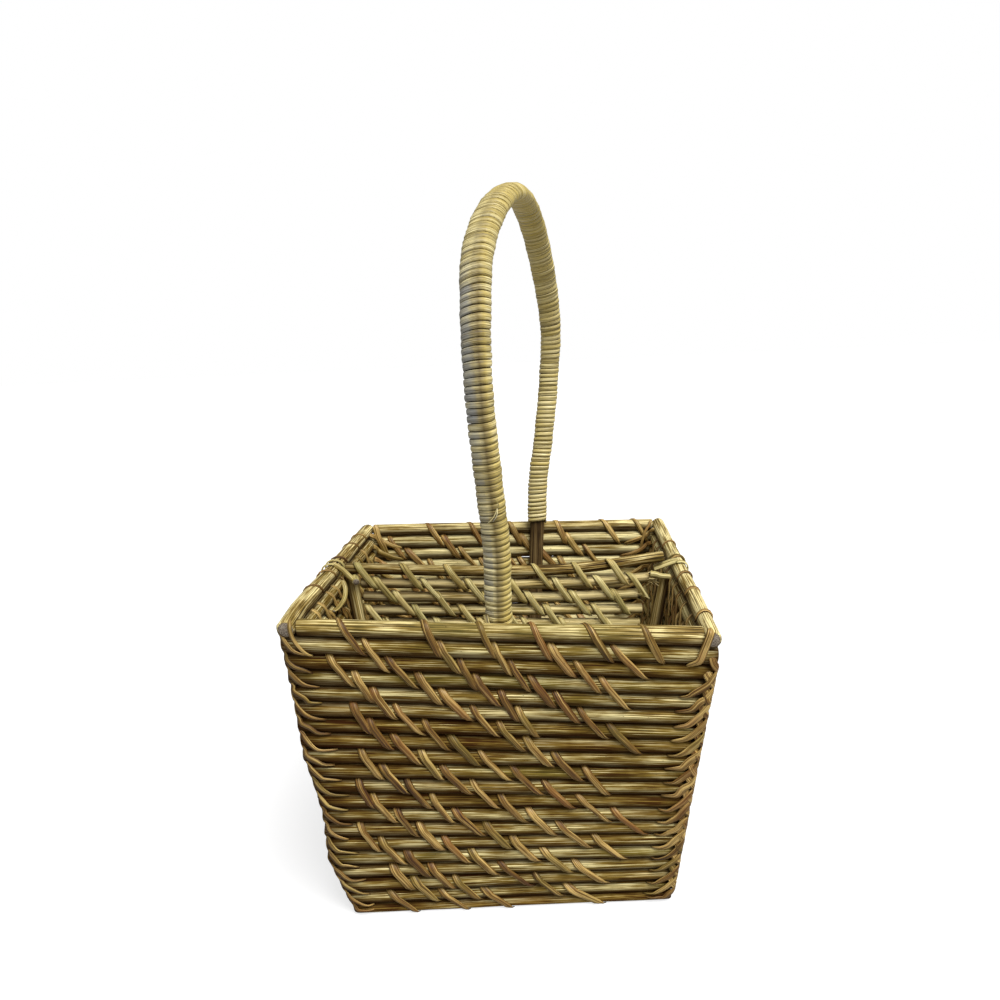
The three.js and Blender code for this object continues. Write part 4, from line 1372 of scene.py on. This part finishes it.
        # Painted shade across the front leg's outer side, weaker at the top and towards the foot.
        shade = np.interp(cross, place, shades) * outside * (1 - 0.5 * high_up) * (1 - 0.1 * low_down)
        strip_width = (self.snug * width)[None]
        tube = self.section.sweep(path[None], normal[None], strip_width, rng, shade[None], (0.8, 0.9))
        mottle = self.mottle * wander(rng, 1, 57 * turn / turn[-1], 7)[0]
        side = np.interp(cross, place, warmths) + self.low_warmth * low_down
        side = self.plain_warmth + (side - self.plain_warmth) * outside
        warm = np.clip(side + (self.top_warmth - side) * high_up + mottle, 0, 1)
        tube.warmth = np.broadcast_to(warm[None, :, None], tube.points.shape[:3])
        return tube

    def build(self, finishes: "Finishes", shape: HandShape) -> Pieces:
        """Makes the core, the winding and the ties."""
        rng = np.random.default_rng(self.seed)
        core = CaneMesh("handle_cane").add(self._core()).build(shape)
        winding = CaneMesh("handle_winding").add(self._winding(rng)).add(self._loose_end(rng))
        winding.add(self._tucked_end(rng))
        pieces = [
            finishes.dress(core, finishes.core, Slot.CORE, "handle_core"),
            finishes.dress(winding.build(shape), finishes.winding, Slot.WRAP, "handle_wrap"),
        ]
        for side in ("front", "back"):
            for level in ("upper", "lower"):
                node = f"{side}_handle_{level}_tie"
                tie = CaneMesh(node + "_strip").add(self._tie(node, rng)).build(shape)
                pieces.append(finishes.dress(tie, finishes.strip, Slot.STRIP, node))
        return pieces

    def _tucked_end(self, rng: Random) -> Tubes:
        """The winding's lower end on the front leg, which slants down over the last turns."""
        y = -(self.leg_foot + self.rim_height * self.leg_rise) - self.half_thickness
        x = self.front_side[1][1] * MM
        offsets = ((-4.4, 1.0, 1.5), (-3.6, -0.9, -1.0), (-1.4, -1.0, -3.8), (0.4, -0.2, -6.2))
        path = spline(np.array([x, y, self.rim_height]) + MM * np.array(offsets), 14)[None]
        normal, width = np.array([0.0, -1.0, 0.1]), 1.9 * MM * np.linspace(1, 0.6, 14)
        return self.section.sweep(path, normal, width, rng, tone=(0.6, 0.8))

    def _loose_end(self, rng: Random) -> Tubes:
        """Three pale fibres that stand off the front leg, each a short curve."""
        z = self.rim_height + self.loose_height
        y = -(self.leg_foot + z * self.leg_rise) - self.half_thickness
        base = np.array([self.front_side[2][1] * MM + 1.2 * MM, y - 0.9 * MM, z])
        bends = np.array([[-3.4, -0.8, -5.5], [-1.6, -1.2, -4.6], [-0.4, -1.0, 3.2]]) * MM
        s = np.linspace(0, 1, 9)[:, None]
        path = base + bends[:, None] * s + np.array([0.6, -0.6, 0]) * MM * np.sin(np.pi * s)
        normal, width = np.array([0.3, -1.0, 0.2]), 0.4 * MM * (1 - 0.5 * s[:, 0])
        thin = replace(self.section, thickness=0.22 * MM)
        return thin.sweep(path, normal, width, rng, tone=(0.95, 1.0))

    def _tie(self, node: str, rng: Random) -> Tubes:
        """One tie: a strip that lies over the leg and goes back to the wall at each side of it."""
        low, high = (np.array(corner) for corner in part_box(node))
        middle = (low + high) / 2
        sign = -1.0 if middle[1] < 0 else 1.0
        half, depth, _ = (high - low) / 2
        inner, wall = middle[1] - sign * depth, middle[1] + sign * depth
        # From each end to the middle: share of the half length, place in depth and rise at the left end.
        steps = [(1.0, wall, 1.2), (0.72, wall - sign * 1.2 * MM, 0.9), (0.5, inner, 0.5)]
        route = [(-share, y, rise) for share, y, rise in steps]
        route.append((0.0, inner - sign * 0.5 * MM, 0.0))
        route += [(share, y, -rise) for share, y, rise in reversed(steps)]
        controls = [(middle[0] + share * half, y, middle[2] + rise * MM) for share, y, rise in route]
        path = spline(np.array(controls), 26)[None]
        normal = np.broadcast_to([0.0, -sign, 0.0], path.shape).copy()
        normal[..., 0] = 1.1 * (path[..., 0] - middle[0]) / half
        return StripSection().sweep(path, normal, self.tie_width, rng)


def srgb(code: int) -> Four:
    """A colour written as 0xRRGGBB, as linear values with full opacity."""
    shares = [((code >> shift) & 255) / 255 for shift in (16, 8, 0)]
    linear = [s / 12.92 if s <= 0.04045 else ((s + 0.055) / 1.055) ** 2.4 for s in shares]
    return (linear[0], linear[1], linear[2], 1.0)


class NodeSketch:
    """A small helper that adds and joins shader nodes."""

    def __init__(self, owner: Material | bpy.types.World) -> None:
        """Starts with a material or a world that has no nodes."""
        owner.use_nodes = True
        self.tree = owner.node_tree
        self.tree.nodes.clear()

    def add(
        self, kind: str, sockets: dict[str | int, Input] | None = None, **settings: str | bool
    ) -> bpy.types.Node:
        """Adds a node.

        Args:
            kind: the node's type.
            sockets: input name or index to a value or to another node's output.
            settings: the node's own properties.

        Returns:
            The node.
        """
        node = self.tree.nodes.new(kind)
        for key, value in settings.items():
            setattr(node, key, value)
        for key, value in (sockets or {}).items():
            if isinstance(value, Socket):
                self.tree.links.new(value, node.inputs[key])
            else:
                node.inputs[key].default_value = value
        return node

    def math(self, operation: str, a: Input, b: Input, clamp: bool = False) -> Socket:
        """The result of one arithmetic step on two values or sockets."""
        return self.add("ShaderNodeMath", {0: a, 1: b}, operation=operation, use_clamp=clamp).outputs[0]

    def plus(self, a: Input, b: Input, clamp: bool = False) -> Socket:
        """The sum of two values or sockets."""
        return self.math("ADD", a, b, clamp)

    def times(self, a: Input, b: Input) -> Socket:
        """The product of two values or sockets."""
        return self.math("MULTIPLY", a, b)

    def swing(self, noise: Socket, strength: float) -> Socket:
        """How far a noise is from its middle, times a strength."""
        return self.times(self.math("SUBTRACT", noise, 0.5), strength)

    def blend(self, factor: Input, a: Input, b: Input, mode: str = "MIX") -> Socket:
        """The mix of two colours."""
        sockets = {0: factor, 6: a, 7: b}
        return self.add("ShaderNodeMix", sockets, data_type="RGBA", blend_type=mode).outputs[2]

    def spread(self, value: Input, low: float, high: float) -> Socket:
        """A value stretched so that low becomes 0 and high becomes 1."""
        sockets = {0: value, 1: low, 2: high}
        return self.add("ShaderNodeMapRange", sockets, interpolation_type="SMOOTHSTEP").outputs[0]

    def seen(self) -> Socket:
        """1 where the camera looks straight at it, and 0 for the light that it gives."""
        return self.add("ShaderNodeLightPath").outputs["Is Camera Ray"]

    def attribute(self, name: str) -> Socket:
        """One of the mesh's own numbers."""
        return self.add("ShaderNodeAttribute", attribute_name=name).outputs["Fac"]

    def surface(self, colour: Input, rough: Input, specular: float, more: dict[str, Input]) -> None:
        """Ends the material in a surface of that colour and roughness, with more inputs by name."""
        sockets = {"Base Color": colour, "Roughness": rough, "Specular IOR Level": specular, **more}
        shader = self.add("ShaderNodeBsdfPrincipled", sockets).outputs[0]
        self.add("ShaderNodeOutputMaterial", {"Surface": shader})

    def fibres(self, source: Socket, scales: Pair, detail: float, shift: float) -> Socket:
        """Noise that is stretched along the cane, by its scales along and across it."""
        sockets = {0: source, 1: (shift, shift, shift), 3: (*scales, 1.0)}
        stretched = self.add("ShaderNodeMapping", sockets).outputs[0]
        sockets = {"Vector": stretched, "Scale": 1.0, "Detail": detail, "Roughness": 0.55}
        return self.add("ShaderNodeTexNoise", sockets).outputs[0]


@dataclass(frozen=True)
class CaneFinish:
    """The look of a plant-fibre skin: pale and dark fibres, blotches, specks and painted shade in grooves."""

    name: str
    pale: int
    middle: int
    deep: int
    cool: int  # tint of the grey-green stretches
    warm: int  # tint of the orange stretches
    groove: int = 0x301302  # the painted shade in grooves, and the pores of a cut end
    pith: int = 0x9A8F7E  # a cut end between its pores
    fibre: float = 0.33 * MM  # width of the finest fibres
    streak: float = 1.2 * MM  # width of the broad streaks
    fibre_length: float = 34 * MM
    contrast: float = 0.8  # times the next three
    # Strengths: of the finest fibres, the broad streaks, the long blotches, the thin dark lines, the
    # dark specks, the painted shade in grooves, and the warm and the cool tint.
    fibres: float = 2.8
    streaks: float = 2.4
    blotches: float = 1.6
    veins: float = 0.7
    specks: float = 0.55
    painted_shade: float = 0.85
    tint: float = 0.45
    gloss: float = 0.5  # roughness of the pale fibres
    specular: float = 0.07
    bump: float = 0.5
    relief: float = 0.25 * MM  # height of the fibres
    pore: float = 0.35 * MM  # size of a cut end's pores

    def material(self) -> Material:
        """Builds the material: fibres, tints, veins and specks, painted shade, cut ends, gloss and relief."""
        material = bpy.data.materials.new(self.name)
        net = NodeSketch(material)
        uv = net.add("ShaderNodeUVMap", uv_map="fibre").outputs[0]
        long = 1 / self.fibre_length
        # Each noise: its scales along and across the cane, its detail, and a shift that sets it apart.
        fine, broad, blotch, vein, speck = (
            net.fibres(uv, scales, detail, shift)
            for scales, detail, shift in (
                ((long * 1.6, 1 / self.fibre), 3.0, 0.0),
                ((long * 0.7, 1 / self.streak), 2.0, 3.7),
                ((long * 2.2, 0.22 / self.streak), 3.0, 9.1),
                ((long * 0.5, 0.8 / self.fibre), 1.0, 17.3),
                ((long * 26, 0.6 / self.fibre), 1.0, 29.9),
            )
        )
        mixed = net.swing(fine, self.fibres * self.contrast)
        mixed = net.plus(mixed, net.swing(broad, self.streaks * self.contrast))
        mixed = net.plus(mixed, net.swing(blotch, self.blotches * self.contrast))
        level = net.plus(mixed, net.plus(net.times(net.attribute("tone"), 0.5), 0.25), clamp=True)
        lower = net.blend(net.spread(level, 0.0, 0.5), srgb(self.deep), srgb(self.middle))
        colour = net.blend(net.spread(level, 0.45, 1.0), lower, srgb(self.pale))
        warmth = net.plus(net.attribute("warmth"), net.swing(blotch, 0.7))
        for low, high, tint in ((0.55, 1.05, self.warm), (0.45, -0.05, self.cool)):
            colour = net.blend(net.times(net.spread(warmth, low, high), self.tint), colour, srgb(tint))
        streak = net.plus(net.times(fine, 1.8 * self.contrast), 1.0 - 0.9 * self.contrast)
        colour = net.blend(1.0, colour, streak, "MULTIPLY")
        dark_vein = net.times(net.spread(vein, 0.58, 0.68), self.veins)
        dark_speck = net.times(net.spread(speck, 0.7, 0.8), self.specks)
        # Painted shade: the mesh's shade, made ragged by the broad streaks, mixes in the groove colour and
        # roughens the skin.
        ragged = net.plus(net.attribute("shade"), net.swing(broad, 0.5))
        painted_shade = net.times(net.spread(ragged, 0.1, 1.05), self.painted_shade)
        for share, dark in ((dark_vein, self.deep), (dark_speck, self.groove), (painted_shade, self.groove)):
            colour = net.blend(share, colour, srgb(dark))
        grain = net.add("ShaderNodeTexVoronoi", {"Vector": uv, "Scale": 1 / self.pore}).outputs[0]
        cut_tone = net.blend(net.spread(grain, 0.1, 0.7), srgb(self.groove), srgb(self.pith))
        colour = net.blend(net.spread(net.attribute("cut"), 0.02, 0.12), colour, cut_tone)
        rough = net.plus(net.times(net.math("SUBTRACT", 1.0, level), 0.22), self.gloss)
        rough = net.plus(rough, net.times(painted_shade, 0.25), clamp=True)
        relief = net.plus(net.times(fine, 0.6), net.times(broad, 0.5))
        relief = net.math("SUBTRACT", relief, net.times(dark_vein, 0.5))
        sockets = {"Strength": self.bump, "Distance": self.relief, "Height": relief}
        bump = net.add("ShaderNodeBump", sockets).outputs[0]
        net.surface(colour, rough, self.specular, {"Normal": bump})
        return material


@dataclass
class Finishes:
    """The basket's materials, and how a piece gets one."""

    rod: Material
    pale_rod: Material
    rim: Material
    strip: Material
    pale_strip: Material
    winding: Material
    core: Material

    @classmethod
    def make(cls) -> "Finishes":
        """Builds all materials."""
        rod = CaneFinish(
            "olive_cane", 0xEEE0A4, 0x866D2E, 0x402105, cool=0x747030, warm=0x805822,
            contrast=0.9, streaks=0.9, blotches=1.3, veins=0.35,
        )
        pale_rod = CaneFinish("pale_cane", 0xEAD89C, 0xAE9658, 0x54401C, cool=0x8C8A4C, warm=0x9C7A3C)
        rim = CaneFinish(
            "rim_cane", 0xEBDA9C, 0x917638, 0x38240A, cool=0x7A7438, warm=0x8E6A2C,
            fibre=0.42 * MM, contrast=1.0, streaks=1.3, blotches=1.3, veins=0.6, specular=0.14,
        )
        strip = CaneFinish(
            "split_cane", 0xCEAE68, 0x7C5A22, 0x3C2008, cool=0x6E6222, warm=0x885426,
            fibre=0.3 * MM, streak=0.8 * MM, gloss=0.38, specular=0.35, contrast=0.7, tint=0.5,
        )
        pale_strip = CaneFinish(
            "pale_split_cane", 0xDCCD8E, 0xAE9A58, 0x5E4C20, cool=0x98925A, warm=0xB0904E,
            fibre=0.3 * MM, streak=0.8 * MM, gloss=0.42, specular=0.25, contrast=0.6,
        )
        winding = CaneFinish(
            "handle_straw", 0xF0E2AA, 0xB09E60, 0x50401C, cool=0x8A8C8C, warm=0xC2AB5A,
            fibre=0.3 * MM, streak=0.7 * MM, gloss=0.34, specular=0.4, contrast=0.8, tint=0.85,
        )
        core = CaneFinish("handle_core_cane", 0x7A6642, 0x5B4729, 0x2F2214, cool=0x4E4A35, warm=0x6A4526)
        finishes = (rod, pale_rod, rim, strip, pale_strip, winding, core)
        return cls(*(finish.material() for finish in finishes))

    @staticmethod
    def dress(piece: Piece, material: Material, slot: Slot, *nodes: str) -> Piece:
        """Gives a piece its material and ties it to the frame.

        Args:
            piece: the new object.
            material: its material.
            slot: the record's slot that its finish belongs to; not used.
            nodes: the CAD nodes that it stands for.

        Returns:
            The same object.
        """
        piece.data.materials.append(material)
        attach(piece, "root")
        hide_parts(*nodes)
        return piece


@dataclass(frozen=True)
class Basket:
    """The sizes that all sub-assemblies share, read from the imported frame."""

    courses: int = 20
    gap: float = 0.3 * MM  # between the wall's rods and the handle's core
    core_half: float = 1.85 * MM  # half the thickness of that core
    # Front lacing, one row of stitches each: first course, first place, stitches, first step to the
    # right and growth of the steps, with lengths in millimetres.
    front_chains: tuple[Chain, ...] = tuple(
        Chain(top, start * MM, count, run * MM, growth * MM)
        for top, start, count, run, growth in (
            (19, -56.6, 10, 8.2, 0.3), (19, -27.5, 6, 5.6, 0.4), (19, -10, 7, 5.6, 0.9),
            (19, 8.8, 4, 7.6, 0.8), (19, 26, 2, 12, 0.8), (19, 45, 1, 10, 0.8), (17, -60, 11, 6.3, 0.8),
            (14, -54.5, 10, 6.3, 0.8), (11, -53, 9, 6.8, 0.8), (9, -55, 9, 5.6, 1.1),
            (6, -55.5, 6, 7, 0.8), (3, -46, 3, 7, 2), (1, -48.5, 1, 9, 0.8),
        )
    )
    # Back lacing, as seen from inside: first course, first place in millimetres, and stitches.
    back_chains: tuple[Chain, ...] = tuple(
        Chain(top, start * MM, count, run=8.6 * MM, growth=0.4 * MM, jitter=1.2 * MM)
        for top, start, count in (
            (19, -45, 9), (19, -25, 7), (19, -5, 5), (19, 17, 3), (19, 42, 1), (19, 58, 1),
            (18, -63, 10), (15, -58, 9), (12, -58, 8), (9, -55, 8), (6, -55, 6), (3, -52, 3),
        )
    )
    looks: dict[str, WallLook] = field(default_factory=lambda: {
        "front": WallLook((0.05, 0.7), 0.6, (0.4, 0.6), left_painted_shade=0.32, rim_shift=50 * MM),
        "right": WallLook((0.6, 1.1), 0.9, (1.0, 1.2)),
        "back": WallLook((0.85, 1.25), 1.05, (0.7, 0.9)),
        "left": WallLook((0.2, 0.85), 0.55, (0.6, 0.8)),
    })
    # Radii of the rim canes' ends, for the side walls and for the front and back.
    rim_radii: tuple[Pair, Pair] = ((2.9 * MM, 3.1 * MM), (3.0 * MM, 3.15 * MM))
    # Lacing of the faces that aren't seen closely, with lengths in millimetres.
    rim_range: Pair = (-57, 52)  # places along the rim where rows start
    rim_spacing: float = 22
    dense_spacing: float = 11
    rim_jitter: float = 2
    row_drop: float = 2.6  # courses between two rows that start at a wall's left edge
    row_inset: Pair = (9, 13)  # range of their distance from that edge
    row_run: Pair = (6.3, 8)  # range of the first step to the right
    edge_bare: float = 22  # bare stretch at a wall's right edge

    def rod_radius(self) -> float:
        """Radius of the walls' rods."""
        low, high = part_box("front_base_rod")
        return (high.z - low.z) / 2

    def wall(self, name: str, turn: float) -> Wall:
        """One wall, from the boxes of its base rod and its rim rod."""
        axis = 1 if name in ("front", "back") else 0
        ends = []
        for node in (name + "_base_rod", name + "_rim_rod"):
            low, high = (np.array(corner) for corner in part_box(node))
            ends.append((np.array([abs(low[axis] + high[axis]) / 2, (low[2] + high[2]) / 2]), high[1 - axis]))
        (foot, half_foot), (top, half_top) = ends
        return Wall(name, turn, foot, top, half_foot, half_top, self.courses, self.rod_radius())

    def chains(self, wall: Wall, seed: int, top: int, dense: bool = False) -> list[Chain]:
        """Rows of stitches for a face that isn't seen closely.

        Args:
            wall: the wall.
            seed: for the rows' differences.
            top: course at which the rows along the rim start.
            dense: whether those rows stand closer.

        Returns:
            The rows that start at the top, then the ones that start at the left edge.
        """
        rng = np.random.default_rng(seed)
        spacing = self.dense_spacing if dense else self.rim_spacing
        places = np.arange(*self.rim_range, spacing) * MM
        starts = [(top, x + rng.uniform(-self.rim_jitter, self.rim_jitter) * MM) for x in places]
        for course in np.arange(wall.courses - 3, 1, -self.row_drop):
            edge = wall.half_corner(course)
            starts.append((int(course), -edge + rng.uniform(*self.row_inset) * MM))
        rows = []
        for first, start in starts:
            row = Chain(first, start, 1, run=rng.uniform(*self.row_run) * MM)
            k = np.arange(first)
            x = start + row.run * k + row.growth * k * (k - 1) / 2
            fits = x < wall.half_corner(first - k) - self.edge_bare * MM
            rows.append(replace(row, count=max(1, int(fits.sum()))))
        return rows


@dataclass(frozen=True)
class PhotoCamera:
    """The camera at the picture's angle."""

    place: Point = (0.00793, -0.34946, 0.2303)
    pitch: float = 12.42  # degrees down
    yaw: float = -1.22  # degrees to the right
    roll: float = -2.64  # degrees anticlockwise
    focal: float = 819.2  # pixels, for a picture of PHOTO_SIDE pixels
    sensor: float = 36.0

    def build(self) -> None:
        """Makes the camera and sets it as the scene's."""
        pitch, yaw, roll = (math.radians(angle) for angle in (self.pitch, self.yaw, self.roll))
        forward = Vector((math.sin(yaw) * math.cos(pitch), math.cos(yaw) * math.cos(pitch), -math.sin(pitch)))
        right = Vector((math.cos(yaw), -math.sin(yaw), 0))
        up = right.cross(forward)
        x = right * math.cos(roll) + up * math.sin(roll)
        y = up * math.cos(roll) - right * math.sin(roll)
        data = bpy.data.cameras.new("photo_camera")
        data.sensor_width = self.sensor
        data.lens = self.focal / PHOTO_SIDE * self.sensor
        data.clip_start = 0.01
        camera = placed("photo_camera", data)
        turn = Matrix((x, y, -forward)).transposed().to_4x4()
        camera.matrix_world = Matrix.Translation(Vector(self.place)) @ turn
        bpy.context.scene.camera = camera


@dataclass(frozen=True)
class Studio:
    """The white floor and background, and the lamps."""

    floor_side: float = 8.0
    floor_colour: float = 0.4
    floor_glow: float = 0.72  # added for the camera only, so that the floor shows as white
    sky: float = 0.3
    key_power: float = 3.6
    key_angle: float = 38  # degrees that the key's disc spans
    key_place: Point = (0.34, -0.4, 1)
    fill_power: float = 0.9
    fill_side: float = 0.8
    fill_place: Point = (0.45, -0.9, 0.5)
    target: Point = (0, 0, 0.1)  # where both lamps face

    def _floor(self) -> None:
        """A wide level floor, seen as white, that keeps the shadow."""
        half = self.floor_side / 2
        corners = [(-half, -half, 0), (half, -half, 0), (half, half, 0), (-half, half, 0)]
        mesh = bpy.data.meshes.new("floor")
        mesh.from_pydata(corners, [], [(0, 1, 2, 3)])
        material = bpy.data.materials.new("studio_floor")
        net = NodeSketch(material)
        grey = (self.floor_colour,) * 3 + (1.0,)
        glow = net.times(net.seen(), self.floor_glow)
        net.surface(grey, 0.9, 0.0, {"Emission Color": (1, 1, 1, 1), "Emission Strength": glow})
        mesh.materials.append(material)
        placed("floor", mesh)

    def _world(self) -> None:
        """White where it is seen, and an even dim light elsewhere."""
        world = bpy.data.worlds.new("studio")
        net = NodeSketch(world)
        strength = net.add("ShaderNodeMapRange", {0: net.seen(), 3: self.sky, 4: 1.0}).outputs[0]
        white = net.add("ShaderNodeBackground", {0: (1, 1, 1, 1), 1: strength}).outputs[0]
        net.add("ShaderNodeOutputWorld", {0: white})
        bpy.context.scene.world = world

    def _lamp(self, data: bpy.types.Light, place: Point) -> None:
        """Hangs a lamp at a place, facing the middle of the basket."""
        lamp = placed(data.name, data)
        aim = Vector(self.target) - Vector(place)
        turn = aim.to_track_quat("-Z", "Y").to_matrix().to_4x4()
        lamp.matrix_world = Matrix.Translation(Vector(place)) @ turn

    def build(self) -> None:
        """Makes the floor, the world and the lamps, and sets the plain view."""
        self._floor()
        self._world()
        key = bpy.data.lights.new("key", "SUN")
        key.angle = math.radians(self.key_angle)
        key.energy = self.key_power
        self._lamp(key, self.key_place)
        fill = bpy.data.lights.new("fill", "AREA")
        fill.size = self.fill_side
        fill.energy = self.fill_power
        self._lamp(fill, self.fill_place)
        bpy.context.scene.view_settings.view_transform = "Standard"


def main() -> None:
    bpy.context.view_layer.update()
    logging.basicConfig(level=logging.INFO, format="%(name)s %(message)s")
    PhotoCamera().build()
    Studio().build()
    finishes = Finishes.make()
    basket = Basket()
    turns = {"front": 0, "right": 90, "back": 180, "left": 270}
    walls = {name: basket.wall(name, turn) for name, turn in turns.items()}
    front, side = walls["front"], walls["left"]
    radius = basket.rod_radius()
    shape = HandShape(
        half_foot=side.foot[0] + radius, half_rim=side.top[0] + radius, height=side.top[1] + radius
    )
    pieces = []
    for seed, (name, wall) in enumerate(walls.items(), start=11):
        top = wall.courses - 1
        through = name in ("front", "back")
        radii, look = basket.rim_radii[int(through)], basket.looks[name]
        outer, inner = list(basket.front_chains), list(basket.back_chains)
        if name != "front":
            outer = basket.chains(wall, seed, top - 1 if through else top)
        if name != "back":
            inner = basket.chains(wall, seed + 40, top - 1, dense=True)
        pieces += WallBuild(wall, shape, outer, inner, seed, through, radii, look).build(finishes)
    corners = (
        ("front_left", "left", "front", CornerStyle.WRAPPED),
        ("front_right", "front", "right", CornerStyle.PLAITED),
        ("back_right", "right", "back", CornerStyle.WRAPPED),
        ("back_left", "back", "left", CornerStyle.PLAITED),
    )
    for seed, (name, left, right, style) in enumerate(corners, start=31):
        inside_rim = name.startswith("back")
        corner = CornerBuild(name, walls[left], walls[right], style, seed, inside_rim)
        pieces += corner.build(finishes, shape)
    low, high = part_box("floor_rods")
    pieces += FloorBuild(
        half_length=high.x,
        half_depth=front.foot[0] - 2 * radius,
        height=(low.z + high.z) / 2,
        pitch=front.pitch,
        radius=radius,
    ).build(finishes, shape)
    lowest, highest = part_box("divider_rod_17"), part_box("divider_rod_01")
    pieces += DividerBuild(
        half_rim=highest[1].x + 0.5 * MM,
        half_foot=lowest[1].x,
        rim_height=side.top[1],
        foot_height=(lowest[0].z + lowest[1].z) / 2,
    ).build(finishes, shape)
    pieces += TieBuild(side.top[0], side.top[1], radius).build(finishes, shape)
    core_low, core_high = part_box("handle_core")
    rise = front.slope[0] / front.slope[1]
    inside = front.foot[0] - front.foot[1] * rise
    pieces += HandleBuild(
        leg_foot=inside - (radius + basket.gap + basket.core_half) / front.slope[1],
        leg_rise=rise,
        foot_height=core_low.z,
        top_height=core_high.z - basket.core_half,
        rim_height=front.top[1] + radius,
    ).build(finishes, shape)
    for piece in pieces:
        LOG.info("%s: %d faces", piece.name, len(piece.data.polygons))


if __name__ == "__main__":
    main()
